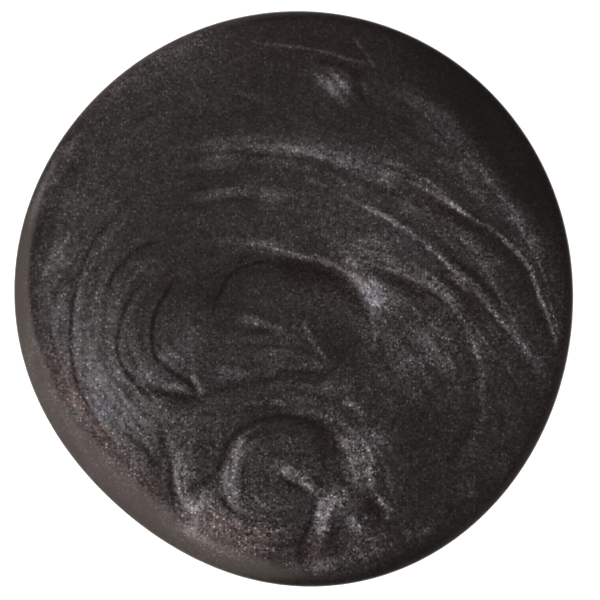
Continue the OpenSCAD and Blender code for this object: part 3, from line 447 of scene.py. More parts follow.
ANGLES = np.arange(AROUND) * 2 * math.pi / AROUND
COS, SIN = np.cos(ANGLES), np.sin(ANGLES)
OUTLINE = outline_radius(ANGLES)
ROLL = ROLL_WIDTH + ROLL_SWELL * bell(ANGLES, SWELL_TURN, SWELL_SPREAD)
ROLL_RADIUS = ROLL / math.sin(ROLL_SLOPE)
FACE_RADIUS = OUTLINE - CORNER_RADIUS * (1 - math.sin(ROLL_SLOPE)) - ROLL
CORNER_TOP = TOP - ROLL_RADIUS * (1 - math.cos(ROLL_SLOPE))
CORNER_FOOT = CORNER_TOP - CORNER_RADIUS * math.cos(ROLL_SLOPE)


def middle_of(values):
    return (np.min(values) + np.max(values)) / 2


MIDDLE = np.array([middle_of(OUTLINE * COS), middle_of(OUTLINE * SIN)])


def ring(radius, height):
    """Points round the cake at a radius and height given for each angle."""
    height = np.broadcast_to(height, ANGLES.shape)
    return np.column_stack([radius * COS - MIDDLE[0], radius * SIN - MIDDLE[1], height])


# ---- Noise and strokes.

def ease(t):
    """A smooth step from 0 to 1 as t goes from 0 to 1."""
    return t * t * (3 - 2 * t)


HASH_X, HASH_Y, HASH_SEED = 374761393, 668265263, 974634777
HASH_ROUNDS = ((13, 1274126177), (16, 2246822519))
BITS_24, BITS_32 = 0xFFFFFF, 0xFFFFFFFF


def hashed(ix, iy, seed):
    """A repeatable random number from 0 to 1 for each whole-number place."""
    n = (ix.astype(np.int64) * HASH_X + iy.astype(np.int64) * HASH_Y + seed * HASH_SEED) & BITS_32
    for shift, factor in HASH_ROUNDS:
        n = ((n ^ (n >> shift)) * factor) & BITS_32
    return ((n ^ (n >> 15)) & BITS_24) / BITS_24


def value_noise(x, y, seed):
    """Smooth noise, about -1 to 1, one swell per unit."""
    ix, iy = np.floor(x), np.floor(y)
    fx, fy = ease(x - ix), ease(y - iy)
    low = hashed(ix, iy, seed) * (1 - fx) + hashed(ix + 1, iy, seed) * fx
    high = hashed(ix, iy + 1, seed) * (1 - fx) + hashed(ix + 1, iy + 1, seed) * fx
    return 2 * (low * (1 - fy) + high * fy) - 1


OCTAVE_GAIN, OCTAVE_SEED, OCTAVE_SUM = 0.55, 17, 1.9


def fractal(x, y, seed, octaves=4):
    """Noise with finer and finer swells on its swells, about -1 to 1."""
    total, gain = 0, 1
    for k in range(octaves):
        total = total + gain * value_noise(x * 2**k, y * 2**k, seed + OCTAVE_SEED * k)
        gain *= OCTAVE_GAIN
    return total / OCTAVE_SUM


def patches(xy, size, seed, octaves=4):
    """Fractal noise over the face, with its broadest swells of a size."""
    return fractal(xy[:, 0] / size, xy[:, 1] / size, seed, octaves)


def smooth_path(points, step=0.25):
    """A Catmull-Rom curve through the points, sampled about every step."""
    p = np.array(points, dtype=float)
    ends = np.vstack([2 * p[0] - p[1], p, 2 * p[-1] - p[-2]])
    out = []
    for a, b, c, d in zip(ends[:-3], ends[1:-2], ends[2:-1], ends[3:]):
        n = max(2, int(math.ceil(np.linalg.norm(c - b) / step)))
        t = np.arange(n)[:, None] / n
        square, cube = 2 * a - 5 * b + 4 * c - d, 3 * b - a - 3 * c + d
        out.append(0.5 * (2 * b + (c - a) * t + square * t**2 + cube * t**3))
    return np.vstack(out + [p[-1:]])


def distance_to_path(xy, path):
    """Each point's distance to the path, and how far along it its nearest point is, from 0 to 1."""
    a, b = path[:-1], path[1:]
    run = b - a
    length = np.maximum(np.linalg.norm(run, axis=1), 1e-9)
    start = np.concatenate([[0], np.cumsum(length)])
    from_a = xy[:, None, :] - a[None, :, :]
    t = np.clip((from_a[..., 0] * run[:, 0] + from_a[..., 1] * run[:, 1]) / length**2, 0, 1)
    dx = xy[:, None, 0] - (a[:, 0] + t * run[:, 0])
    dy = xy[:, None, 1] - (a[:, 1] + t * run[:, 1])
    d2 = dx * dx + dy * dy
    k = np.argmin(d2, axis=1)
    rows = np.arange(len(xy))
    return np.sqrt(d2[rows, k]), (start[k] + t[rows, k] * length[k]) / start[-1]


def near_box(xy, others, reach=0.0):
    """Which of the points lie in the box round the others, grown by reach: their numbers."""
    low, high = others.min(axis=0) - reach, others.max(axis=0) + reach
    return np.where(np.all((xy >= low) & (xy <= high), axis=1))[0]


def batches(numbers, size=4000):
    """The numbers in parts small enough to work on at once."""
    return [part for part in np.array_split(numbers, max(1, len(numbers) // size)) if len(part)]


def stroke_sum(xy, strokes, strongest_only=False, line_gain=1.0):
    """The strokes' strengths at the points, added up or the strongest alone. Line_gain raises the
    fine strokes'."""
    total = np.zeros(len(xy))
    for strength, width, points in strokes:
        path = smooth_path(points)
        fine = width <= FINE_STROKE
        half = (FINE_HALF if fine else BROAD_HALF) * width
        peak = strength * (line_gain if fine else 1)
        for part in batches(near_box(xy, path, STROKE_REACH * width)):
            d, along = distance_to_path(xy[part], path)
            fade = ease(np.clip(np.minimum(along, 1 - along) / END_FADE, 0, 1))
            value = peak * (END_STRENGTH + (1 - END_STRENGTH) * fade) * np.exp(-((d / half) ** 2))
            total[part] = np.maximum(total[part], value) if strongest_only else total[part] + value
    return total


# ---- Fields over the face.

def sample(grid, xy, step):
    """Bilinear value of a square grid at the points."""
    just_inside = grid.shape[0] - 1.001
    g = np.clip((xy + FIELD_HALF) / step, 0, just_inside)
    i = g.astype(int)
    f = g - i
    a, b = grid[i[:, 0], i[:, 1]], grid[i[:, 0] + 1, i[:, 1]]
    c, d = grid[i[:, 0], i[:, 1] + 1], grid[i[:, 0] + 1, i[:, 1] + 1]
    low, high = a * (1 - f[:, 0]) + b * f[:, 0], c * (1 - f[:, 0]) + d * f[:, 0]
    return low * (1 - f[:, 1]) + high * f[:, 1]


def square_points(step):
    """The points of a square grid over the face, and how many there are along each side."""
    axis = np.arange(-FIELD_HALF, FIELD_HALF + step, step)
    gx, gy = np.meshgrid(axis, axis, indexing="ij")
    return np.column_stack([gx.ravel(), gy.ravel()]), len(axis)


def flow_grids():
    """The direction of the marbling, as the cosine and sine of twice its angle."""
    xy, n = square_points(FLOW_STEP)
    cos2, sin2 = np.zeros(len(xy)), np.zeros(len(xy))
    for _, width, points in PEARL_STROKES + CREASE_STROKES:
        if width > BROADEST_GUIDE:
            continue
        path = smooth_path(points, FLOW_STEP)
        run = path[1:] - path[:-1]
        angle = np.arctan2(run[:, 1], run[:, 0])
        mid = (path[1:] + path[:-1]) / 2
        d2 = ((xy[:, None, :] - mid[None, :, :]) ** 2).sum(axis=2)
        weight = 1 / (d2 + GUIDE_SOFTNESS) ** GUIDE_FALL
        cos2 += (weight * np.cos(2 * angle)).sum(axis=1)
        sin2 += (weight * np.sin(2 * angle)).sum(axis=1)
    around = np.arctan2(xy[:, 1], xy[:, 0]) + math.pi / 2
    to_rim = np.maximum(RIM_RADIUS - np.hypot(xy[:, 0], xy[:, 1]), RIM_NEAREST)
    rim = RIM_PULL / (to_rim**2 + RIM_SOFTNESS)
    cos2 += rim * np.cos(2 * around)
    sin2 += rim * np.sin(2 * around)
    size = np.maximum(np.hypot(cos2, sin2), 1e-9)
    return (cos2 / size).reshape(n, n), (sin2 / size).reshape(n, n)


def streaks(flow, seed, reach, swell):
    """Noise drawn out along the flow: reach is the streaks' half length, swell their width."""
    xy, n = square_points(FIELD_STEP)
    noise = value_noise(xy[:, 0] / swell, xy[:, 1] / swell, seed).reshape(n, n)
    total = sample(noise, xy, FIELD_STEP)
    for sign in (1, -1):
        place, heading = xy, None
        for _ in range(int(reach / FIELD_STEP)):
            cos2, sin2 = (sample(part, place, FLOW_STEP) for part in flow)
            angle = 0.5 * np.arctan2(sin2, cos2)
            way = np.column_stack([np.cos(angle), np.sin(angle)])
            if heading is None:
                way *= sign
            else:
                way *= np.where((way * heading).sum(axis=1) < 0, -1, 1)[:, None]
            heading = way
            place = np.clip(place + way * FIELD_STEP, -FIELD_HALF, FIELD_HALF)
            total += sample(noise, place, FIELD_STEP)
    return ((total - total.mean()) / total.std()).reshape(n, n)


FLOW = flow_grids()
FINE_STREAKS = streaks(FLOW, seed=3, reach=1.1, swell=0.2)
LONG_STREAKS = streaks(FLOW, seed=8, reach=3.2, swell=0.42)


def drift(xy):
    """How far the strokes stray at each point."""
    return WARP * np.column_stack([patches(xy, WARP_SIZE, 41), patches(xy, WARP_SIZE, 57)])


def marbling(xy):
    """The four fields at points of the face."""
    fine_streak = sample(FINE_STREAKS, xy, FIELD_STEP)
    long_streak = sample(LONG_STREAKS, xy, FIELD_STEP)
    mottling = patches(xy, MOTTLE_SIZE, 5)
    warped = xy + drift(xy)

    def uneven(long=0, fine=0, mottle=0):
        """1, made uneven by these shares of the streaks and the mottling."""
        return 1 + long * long_streak + fine * fine_streak + mottle * mottling

    ground = np.full(len(xy), BASE_PEARL)
    for strength, x, y, radius in TONE_SWELLS:
        away2 = (xy[:, 0] - x) ** 2 + (xy[:, 1] - y) ** 2
        ground += strength * np.exp(-away2 / radius**2)
    strokes = stroke_sum(warped, PEARL_STROKES, line_gain=PEARL_LINE_GAIN)
    stirred = UNSTIRRED + (1 - UNSTIRRED) * np.clip(strokes / STIRRED_AT, 0, 1)
    pearl = ground * uneven(long=0.2 * stirred, fine=0.17 * stirred, mottle=0.14)
    pearl += strokes * np.maximum(uneven(long=0.22, fine=0.36, mottle=0.22), 0.2)
    creases = stroke_sum(warped, CREASE_STROKES, line_gain=CREASE_LINE_GAIN)
    copper = stroke_sum(warped, COPPER_STROKES, strongest_only=True)
    cool = stroke_sum(warped, COOL_STROKES, strongest_only=True)
    return {
        "pearl": np.clip(pearl, PEARL_LEAST, PEARL_MOST),
        "crease": 1 - np.exp(-CREASE_GAIN * creases * uneven(long=0.15, fine=0.1)),
        "copper": np.clip(copper * uneven(fine=0.3, mottle=0.35), 0, 1),
        "cool": np.clip(cool * uneven(fine=0.3, mottle=0.6), 0, 1),
    }


SWELL_HEIGHT, SWELL_SIZE = 0.018, 5
VEIN_RISE, CREASE_DIP = 0.006, 0.006
SUNK = 0.01  # how far the whole face lies under its plane
FLAT_PEARL, HIGH_PEARL = 0.15, 0.5  # pearl over which veins rise, and how much more counts
EDGE_FADE = 1.2  # width along the face's edge in which the relief starts


def relief(xy, pearl, crease):
    """Height of the face over its plane: veins stand a hair proud, creases dip."""
    swell = SWELL_HEIGHT * patches(xy, SWELL_SIZE, 77, octaves=2)
    rise = VEIN_RISE * np.clip(pearl - FLAT_PEARL, 0, HIGH_PEARL) - CREASE_DIP * crease
    from_axis = xy + MIDDLE
    angle = np.arctan2(from_axis[:, 1], from_axis[:, 0]) % (2 * math.pi)
    edge = np.interp(angle, np.append(ANGLES, 2 * math.pi), np.append(FACE_RADIUS, FACE_RADIUS[0]))
    inward = edge - np.hypot(from_axis[:, 0], from_axis[:, 1])
    return (swell + rise - SUNK) * ease(np.clip(inward / EDGE_FADE, 0, 1))


# ---- The face's layout.

def top_loops(node):
    """The outlines of a CAD inlay's top face, one array of points for each loop."""
    mesh = frame["nodes"][node].data
    co = np.empty(len(mesh.vertices) * 3)
    mesh.vertices.foreach_get("co", co)
    co = co.reshape(-1, 3) / MM
    corners, index = np.unique(np.round(co, 4), axis=0, return_inverse=True)
    index = index.ravel()
    high = corners[:, 2] > co[:, 2].max() - SAME_HEIGHT
    used = {}
    for polygon in mesh.polygons:
        v = [int(index[i]) for i in polygon.vertices]
        if all(high[i] for i in v):
            used.update(((a, b), True) for a, b in zip(v, v[1:] + v[:1]) if a != b)
    follow = {}
    for a, b in used:
        if (b, a) not in used:
            follow.setdefault(a, []).append(b)
    loops = []
    while follow:
        start = at = next(iter(follow))
        loop = []
        while not loop or at != start:
            loop.append(at)
            after = follow[at].pop()
            if not follow[at]:
                del follow[at]
            at = after
        loops.append(corners[loop][:, :2])
    return loops


def inside_loop(xy, loop):
    """Which points lie inside a closed loop."""
    a, b = loop, np.roll(loop, -1, axis=0)
    hit = np.zeros(len(xy), dtype=bool)
    for part in batches(near_box(xy, loop)):
        x, y = xy[part, 0][:, None], xy[part, 1][:, None]
        cross = (a[:, 1] > y) != (b[:, 1] > y)
        with np.errstate(divide="ignore", invalid="ignore"):
            at = (b[:, 0] - a[:, 0]) * (y - a[:, 1]) / (b[:, 1] - a[:, 1]) + a[:, 0]
        hit[part] = (np.sum(cross & (x < at), axis=1) % 2) == 1
    return hit


def stroke_points():
    """Points along the middles and edges of the fine strokes, so that the mesh holds their detail."""
    out = []
    for _, width, points in PEARL_STROKES + CREASE_STROKES:
        if width > FINE_STROKE:
            continue
        path = smooth_path(points, GRID)
        path = path - drift(path)
        run = np.gradient(path, axis=0)
        run /= np.maximum(np.linalg.norm(run, axis=1), 1e-9)[:, None]
        across = np.column_stack([-run[:, 1], run[:, 0]])
        for offset in (-1.0, -0.5, 0.0, 0.5, 1.0):
            out.append(path + across * offset * width)
    out = np.vstack(out)
    _, first = np.unique(np.floor(out / CROWDING).astype(int), axis=0, return_index=True)
    return out[np.sort(first)]


def crowded(xy, others, reach):
    """Which points lie within about reach of any of the others."""
    cell, margin = reach / 2, 3  # the margin is cells left free round the square
    size = int(2 * FIELD_HALF / cell) + 2 * margin + 2
    taken = np.zeros((size, size), dtype=bool)
    at = np.floor((others + FIELD_HALF) / cell).astype(int) + margin
    for dx in range(-2, 3):
        for dy in range(-2, 3):
            if abs(dx) + abs(dy) < 4:  # all but the four corners
                taken[at[:, 0] + dx, at[:, 1] + dy] = True
    mine = np.floor((xy + FIELD_HALF) / cell).astype(int) + margin
    return taken[mine[:, 0], mine[:, 1]]


def triangular_grid():
    """Evenly spread points over the square round the face."""
    ys = np.arange(-GRID_HALF, GRID_HALF, GRID * math.sqrt(3) / 2)
    xs = np.arange(-GRID_HALF, GRID_HALF, GRID)
    gx, gy = np.meshgrid(xs, ys)
    gx = gx + (np.arange(len(ys)) % 2)[:, None] * GRID / 2
    return np.column_stack([gx.ravel(), gy.ravel()])


def clear_of(walls, points):
    """The points that aren't too near to any of the closed walls."""
    near = np.zeros(len(points), dtype=bool)
    for wall in walls:
        closed = np.vstack([wall, wall[:1]])
        for k in range(0, len(closed) - 1, WALL_RUN):
            part = closed[k:k + WALL_RUN + 1]
            some = near_box(points, part, EDGE_CLEARANCE)
            if len(some):
                near[some[distance_to_path(points[some], part)[0] < EDGE_CLEARANCE]] = True
    return points[~near]


def triangulate(walls):
    """Points and triangles over the face, with every wall's edges among the triangles' edges."""
    points, edges = [], []
    for wall in walls:
        first, n = len(points), len(wall)
        points += wall.tolist()
        edges += [(first + i, first + (i + 1) % n) for i in range(n)]
    grid, lines = triangular_grid(), stroke_points()
    grid, lines = grid[inside_loop(grid, walls[0])], lines[inside_loop(lines, walls[0])]
    points += clear_of(walls, np.vstack([lines, grid[~crowded(grid, lines, CROWDING)]])).tolist()
    made = delaunay_2d_cdt([Vector(p) for p in points], edges, [], 0, MERGE_WITHIN, True)
    return np.array([(v.x, v.y) for v in made[0]]), np.array([f for f in made[2] if len(f) == 3])


def face_layout():
    """One triangulation of the face: its points, its triangles, the number of the inlay that each
    triangle is in (-1 for none), and which points are on the edge."""
    edge = ring(FACE_RADIUS, TOP)[:, :2]
    loops = [top_loops(node) for node in INLAYS]
    xy, triangles = triangulate([edge] + [loop for inlay in loops for loop in inlay])
    triangles = triangles[inside_loop(xy[triangles].mean(axis=1), edge)]
    ab, ac = (xy[triangles[:, k]] - xy[triangles[:, 0]] for k in (1, 2))
    clockwise = ab[:, 0] * ac[:, 1] < ab[:, 1] * ac[:, 0]
    triangles[clockwise] = triangles[clockwise][:, ::-1]
    middles = xy[triangles].mean(axis=1)
    piece = np.full(len(triangles), -1)
    for k, inlay in enumerate(loops):
        inside = np.zeros(len(triangles), dtype=bool)
        for loop in inlay:
            inside ^= inside_loop(middles, loop)
        piece[inside & (piece < 0)] = k
    rim = np.array([np.argmin(((xy - p) ** 2).sum(axis=1)) for p in edge])
    return xy, triangles, piece, rim


# ---- Meshes.

def border(triangles):
    """The directed edges that only one triangle uses."""
    e = np.vstack([triangles[:, [0, 1]], triangles[:, [1, 2]], triangles[:, [2, 0]]])
    big = int(e.max()) + 1
    return e[~np.isin(e[:, 0] * big + e[:, 1], e[:, 1] * big + e[:, 0])]


def band(upper, lower):
    """The faces between two rings of points."""
    return np.column_stack([upper, lower, np.roll(lower, -1), np.roll(upper, -1)])


def loop_edges(numbers):
    return np.column_stack([numbers, np.roll(numbers, -1)])


def mark_sharp(mesh, sharp):
    pairs = np.empty(len(mesh.edges) * 2, dtype=np.int64)
    mesh.edges.foreach_get("vertices", pairs)
    pairs, sharp = np.sort(pairs.reshape(-1, 2), axis=1), np.sort(sharp, axis=1)
    big = len(mesh.vertices)
    flags = np.isin(pairs[:, 0] * big + pairs[:, 1], sharp[:, 0] * big + sharp[:, 1])
    mesh.attributes.new("sharp_edge", "BOOLEAN", "EDGE").data.foreach_set("value", flags)


def place_in_scene(name, data):
    """A new object in the scene."""
    obj = bpy.data.objects.new(name, data)
    bpy.context.scene.collection.objects.link(obj)
    return obj


def make_piece(name, node, material, points, faces, sharp, fields):
    """The visible piece for a CAD node, from arrays of points, faces and sharp edges. Points that no
    face uses are left out."""
    used = np.unique(np.concatenate([f.ravel() for f in faces]))
    place = np.full(len(points), -1)
    place[used] = np.arange(len(used))
    mesh = bpy.data.meshes.new(name)
    mesh.from_pydata((points[used] * MM).tolist(), [], [v for f in faces for v in place[f].tolist()])
    mesh.polygons.foreach_set("use_smooth", np.ones(len(mesh.polygons), dtype=bool))
    mark_sharp(mesh, place[np.vstack(sharp)])
    for field in FIELDS:
        values = fields[field][used].astype(np.float32)
        mesh.attributes.new(field, "FLOAT", "POINT").data.foreach_set("value", values)
    mesh.validate()
    mesh.update()
    mesh.materials.append(material)
    obj = place_in_scene(name, mesh)
    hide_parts(node)
    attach(obj, "root")


def inlay_piece(node, layout, points, fields, material):
    """A fold or a set of veins: its part of the face, carried down to the inlays' floor."""
    xy, triangles, piece, _ = layout
    n = len(xy)
    top = triangles[piece == INLAYS.index(node)]
    rim = border(top)
    walls = np.column_stack([rim[:, 1], rim[:, 0], rim[:, 0] + n, rim[:, 1] + n])
    faces = [top, top[:, ::-1] + n, walls]
    make_piece(node + "_ink", node, material, points, faces, [rim, rim + n], fields)


def skin_rings():
    """The cake's rim, as rings from the edge of the face to the top of the wall."""
    rings = []
    for k in range(1, ROLL_STEPS + 1):
        slope = ROLL_SLOPE * k / ROLL_STEPS
        drop = ROLL_RADIUS * (1 - math.cos(slope))
        rings.append(ring(FACE_RADIUS + ROLL_RADIUS * math.sin(slope), TOP - drop))
    for k in range(1, CORNER_STEPS + 1):
        slope = ROLL_SLOPE + (math.pi / 2 - ROLL_SLOPE) * k / CORNER_STEPS
        inset = CORNER_RADIUS * (1 - math.sin(slope))
        rings.append(ring(OUTLINE - inset, CORNER_FOOT + CORNER_RADIUS * math.cos(slope)))
    return rings


DENT, DENT_SIZE = 0.02, 2.6  # the wall's unevenness
DENT_FADE_TOP, DENT_FADE_FOOT = 0.8, 0.5
WALL_RADIUS = 19.6  # radius at which the wall's noise is looked up


def wall_ring(height, inset=0.0):
    """A ring of the wall at a height, slightly uneven and set in by inset."""
    height = np.broadcast_to(height, ANGLES.shape)
    radius = OUTLINE - WALL_DRAFT * (CORNER_FOOT - height) / (CORNER_FOOT - FOOT_RADIUS)
    across, up = WALL_RADIUS * COS / DENT_SIZE, WALL_RADIUS * SIN / DENT_SIZE
    dent = DENT * fractal(across + height / 3, up - height / 2, 91, 3)
    fade = np.clip((CORNER_FOOT - height) / DENT_FADE_TOP, 0, 1)
    fade = fade * np.clip((height - FOOT_RADIUS) / DENT_FADE_FOOT, 0, 1)
    return ring(radius + (dent - DENT) * fade - inset, height)


def wall_rings(top, bottom):
    """Rings down the wall from one height to another, without the first."""
    return [wall_ring(top + (bottom - top) * k / WALL_STEPS) for k in range(1, WALL_STEPS + 1)]


def wall_fields(points):
    """Marbling on the wall: long streaks that run round it, drifting up and down."""
    angle = np.arctan2(points[:, 1], points[:, 0])
    x, y, z = np.cos(angle) * WALL_RADIUS, np.sin(angle) * WALL_RADIUS, points[:, 2]
    sway = 1.3 * fractal(x / 6, y / 6, 33, 3)
    bands = fractal(x / 9 + 40, (z + sway) / 0.9 + y / 14, 12, 4)
    mottle = fractal(x / 1.1, z / 0.8 + y / 1.1, 29, 3)
    return {
        "pearl": np.clip(BASE_PEARL * 0.75 + 0.1 * bands + 0.03 * mottle, 0.015, 0.4),
        "crease": np.clip(-bands - 0.25, 0, 0.6),
        "copper": np.clip(0.5 * fractal(x / 5, z / 1.6 + y / 5, 61, 3), 0, 1),
        "cool": np.zeros(len(points)),
    }


ROLL_DIMMING, DIMMED_BY = 0.5, 1.3  # how much pearl the roll loses, and how soon
BLEND_POWER = 3


def rim_fields(points, k):
    """The face's marbling on the rim's ring number k, fading into the wall's."""
    over, wall = marbling(points[:, :2]), wall_fields(points)
    over["pearl"] *= 1 - ROLL_DIMMING * min(1, DIMMED_BY * k / ROLL_STEPS)
    share = min(1, k / (ROLL_STEPS + CORNER_STEPS)) ** BLEND_POWER
    return {field: over[field] * (1 - share) + wall[field] * share for field in FIELDS}


def face_piece(layout, points, fields, material):
    """The pearl face: the face but for the inlays, the pockets that hold them, the rim, the wall."""
    xy, triangles, piece, before = layout
    n = len(xy)
    pocket = border(triangles[piece >= 0])
    walls = np.column_stack([pocket[:, 1] + n, pocket[:, 0] + n, pocket[:, 0], pocket[:, 1]])
    faces = [triangles[piece < 0], triangles[piece >= 0] + n, walls]
    rings = skin_rings() + wall_rings(CORNER_FOOT, JOINT + JOINT_BEVEL)
    rings.append(wall_ring(JOINT, JOINT_BEVEL))
    over = [rim_fields(r, k) for k, r in enumerate(rings, start=1)]
    for k in range(len(rings)):
        here = len(points) + k * AROUND + np.arange(AROUND)
        faces.append(band(before, here))
        before = here
    faces.append(before[None, ::-1])
    fields = {f: np.concatenate([part[f] for part in [fields] + over]) for f in FIELDS}
    sharp = [pocket + n, pocket, loop_edges(before)]
    points = np.vstack([points] + rings)
    make_piece("pearl_face_ink", "pearl_face", material, points, faces, sharp, fields)


BASE_PEARL_SHARE, BASE_COPPER_SHARE = 0.35, 0.6  # of the wall's marbling


def base_piece(material):
    """The ink base: the lower wall, the foot's rounded edge and the flat face it rests on."""
    below = JOINT - JOINT_BEVEL
    rings = [wall_ring(JOINT, JOINT_BEVEL), wall_ring(below)] + wall_rings(below, FOOT_RADIUS)[:-1]
    for k in range(FOOT_STEPS + 1):
        turn = math.pi / 2 * k / FOOT_STEPS
        inset = WALL_DRAFT + FOOT_RADIUS * (1 - math.cos(turn))
        rings.append(ring(OUTLINE - inset, FOOT_RADIUS * (1 - math.sin(turn))))
    points = np.vstack(rings)
    numbers = np.arange(len(points)).reshape(-1, AROUND)
    bands = [band(upper, lower) for upper, lower in zip(numbers[:-1], numbers[1:])]
    faces = [numbers[:1]] + bands + [numbers[-1:, ::-1]]
    fields = wall_fields(points)
    fields["pearl"] *= BASE_PEARL_SHARE
    fields["copper"] *= BASE_COPPER_SHARE
    sharp = [loop_edges(numbers[0]), loop_edges(numbers[-1])]
    make_piece("ink_base_body", "ink_base", material, points, faces, sharp, fields)


# ---- Materials. Sizes from here on are in metres.

INK_BLACK = (0.003, 0.0024, 0.0022, 1)
INK_BROWN = (0.0027, 0.0021, 0.0017, 1)
PEARL = (0.213, 0.197, 0.204, 1)
COPPER = (0.224, 0.162, 0.15, 1)
COOL = (0.196, 0.194, 0.238, 1)
DENSITY = 0.227  # share of the ink that mica takes up where the marbling's strength is 1
GRAIN = 0.00014  # size of the finest mica
DOT = 0.00022  # spacing of the flakes that show as dots
FLAKE = 0.00038  # spacing of the larger, rarer flakes
CLOUD = 0.0011  # size of the faint clouds in the mica
GRAIN_SHARE, DOT_SHARE, FLAKE_SHARE = 0.95, 2.3, 1.7
GROUND_SHARE = 0.76  # what the mica amounts to between its grains
PAINTED_SPARKLE_TOWARDS = (1, -1, 0)  # painted light: the mica's grain is drawn stronger on this side, as if lit from there
INK_IOR, ROUGHNESS_SPREAD = 1.5, 0.06
BUMP_STRENGTH, BUMP_HEIGHT, BUMP_SIZE = 0.25, 0.00001, 0.0002
FLOOR_WHITES = (0.86, 0.86, 0.86, 1), (0.9, 0.9, 0.9, 1)
FLOOR_GRAIN, FLOOR_ROUGHNESS, FLOOR_SHINE = 0.0025, 0.9, 0.1


class Nodes:
    """Short calls for building a node tree."""

    def __init__(self, tree):
        self.tree = tree

    def add(self, kind, **settings):
        node = self.tree.nodes.new(kind)
        for key, value in settings.items():
            setattr(node, key, value)
        return node

    def put(self, socket, value):
        if isinstance(value, bpy.types.NodeSocket):
            self.tree.links.new(value, socket)
        else:
            socket.default_value = value

    def fill(self, node, *values):
        """Puts the values into the node's first sockets."""
        for socket, value in zip(node.inputs, values):
            self.put(socket, value)
        return node

    def math(self, operation, a, b, clamp=False):
        node = self.add("ShaderNodeMath", operation=operation, use_clamp=clamp)
        return self.fill(node, a, b).outputs[0]

    def plus(self, a, b):
        return self.math("ADD", a, b)

    def times(self, a, b, clamp=False):
        return self.math("MULTIPLY", a, b, clamp)

    def span(self, value, low, high, to_low=0.0, to_high=1.0, kind="SMOOTHSTEP"):
        """The value, with low to high brought to to_low to to_high."""
        node = self.add("ShaderNodeMapRange", interpolation_type=kind)
        return self.fill(node, value, low, high, to_low, to_high).outputs[0]

    def mix(self, share, a, b):
        node = self.add("ShaderNodeMix", data_type="RGBA")
        for k, value in zip((0, 6, 7), (share, a, b)):
            self.put(node.inputs[k], value)
        return node.outputs[2]

    def along(self, place, way):
        """How far a place or direction lies along a way."""
        node = self.add("ShaderNodeVectorMath", operation="DOT_PRODUCT")
        return self.fill(node, place, way).outputs["Value"]

    def place(self, kind="Object"):
        return self.add("ShaderNodeTexCoord").outputs[kind]

    def field(self, name):
        return self.add("ShaderNodeAttribute", attribute_name=name).outputs["Fac"]

    def cells(self, place, size):
        """A cell pattern: how far each place is from its cell's middle, and two random numbers."""
        node = self.add("ShaderNodeTexVoronoi", feature="F1")
        self.put(node.inputs["Vector"], place)
        self.put(node.inputs["Scale"], 1 / size)
        parts = self.add("ShaderNodeSeparateColor")
        self.put(parts.inputs[0], node.outputs["Color"])
        return node.outputs["Distance"], parts.outputs[0], parts.outputs[1]

    def noise(self, place, size, detail=2.0):
        node = self.add("ShaderNodeTexNoise")
        self.put(node.inputs["Vector"], place)
        self.put(node.inputs["Scale"], 1 / size)
        self.put(node.inputs["Detail"], detail)
        return node.outputs[0]


def new_material(name):
    """A new material, its nodes and its shader's sockets."""
    material = bpy.data.materials.new(name)
    material.use_nodes = True
    return material, Nodes(material.node_tree), material.node_tree.nodes["Principled BSDF"].inputs


def ink_material(name, sparkle=1.0, gloss=0.17):
    """Polished ink: soot black, with mica flakes as dense as the marbling says."""
    material, n, shader = new_material(name)
    place = n.place()
    pearl, crease, copper, cool = (n.field(field) for field in FIELDS)
    _, tone, hue = n.cells(place, GRAIN)
    dot_away, dot_pick, _ = n.cells(place, DOT)
    flake_away, flake_pick, _ = n.cells(place, FLAKE)

    dots = n.times(n.span(dot_pick, 0.35, 1.0), n.span(dot_away, 0.5, 0.1))
    flakes = n.times(n.span(flake_pick, 0.8, 0.97), n.span(flake_away, 0.3, 0.1))
    specks = n.plus(n.times(dots, DOT_SHARE), n.times(flakes, FLAKE_SHARE))
    specks = n.plus(specks, n.times(n.math("SUBTRACT", tone, 0.5), GRAIN_SHARE))
    glint = n.span(pearl, 0.09, 0.3, 0.86 * sparkle, 1.16 * sparkle)
    glint = n.times(glint, n.span(pearl, 0.65, 1.3, 1.0, 0.75))
    # painted light: the glints of the grain grow stronger towards one side of the cake, a lit side
    # drawn into the colour
    glint = n.times(glint, n.span(n.along(place, PAINTED_SPARKLE_TOWARDS), -0.016, 0.022, 0.77, 1.25))
    grain = n.plus(n.times(specks, glint), GROUND_SHARE)

    cloud = n.span(n.noise(place, CLOUD, 3.0), 0.3, 0.7, 0.85, 1.15)
    density = n.times(n.times(pearl, grain), n.times(cloud, DENSITY))
    shade = n.math("SUBTRACT", 1.0, n.times(crease, n.span(tone, 0.0, 1.0, 0.97, 0.8)))
    density = n.times(density, shade, clamp=True)
    tint = n.mix(copper, PEARL, COPPER)
    tint = n.mix(n.times(cool, n.span(hue, 0.2, 0.9, 0.6, 1.0)), tint, COOL)
    n.put(shader["Base Color"], n.mix(density, n.mix(crease, INK_BLACK, INK_BROWN), tint))
    n.put(shader["Roughness"], n.span(tone, 0.0, 1.0, gloss, gloss + ROUGHNESS_SPREAD))
    n.put(shader["IOR"], INK_IOR)

    bump = n.add("ShaderNodeBump")
    n.put(bump.inputs["Strength"], BUMP_STRENGTH)
    n.put(bump.inputs["Distance"], BUMP_HEIGHT)
    n.put(bump.inputs["Height"], n.noise(place, BUMP_SIZE))
    n.put(shader["Normal"], bump.outputs[0])
    return material


def floor_material():
    material, n, shader = new_material("pale_floor")
    n.put(shader["Base Color"], n.mix(n.noise(n.place(), FLOOR_GRAIN), *FLOOR_WHITES))
    n.put(shader["Roughness"], FLOOR_ROUGHNESS)
    n.put(shader["Specular IOR Level"], FLOOR_SHINE)
    return material


# ---- Floor, light and camera. Azimuths are from +X and elevations from the floor, in degrees.

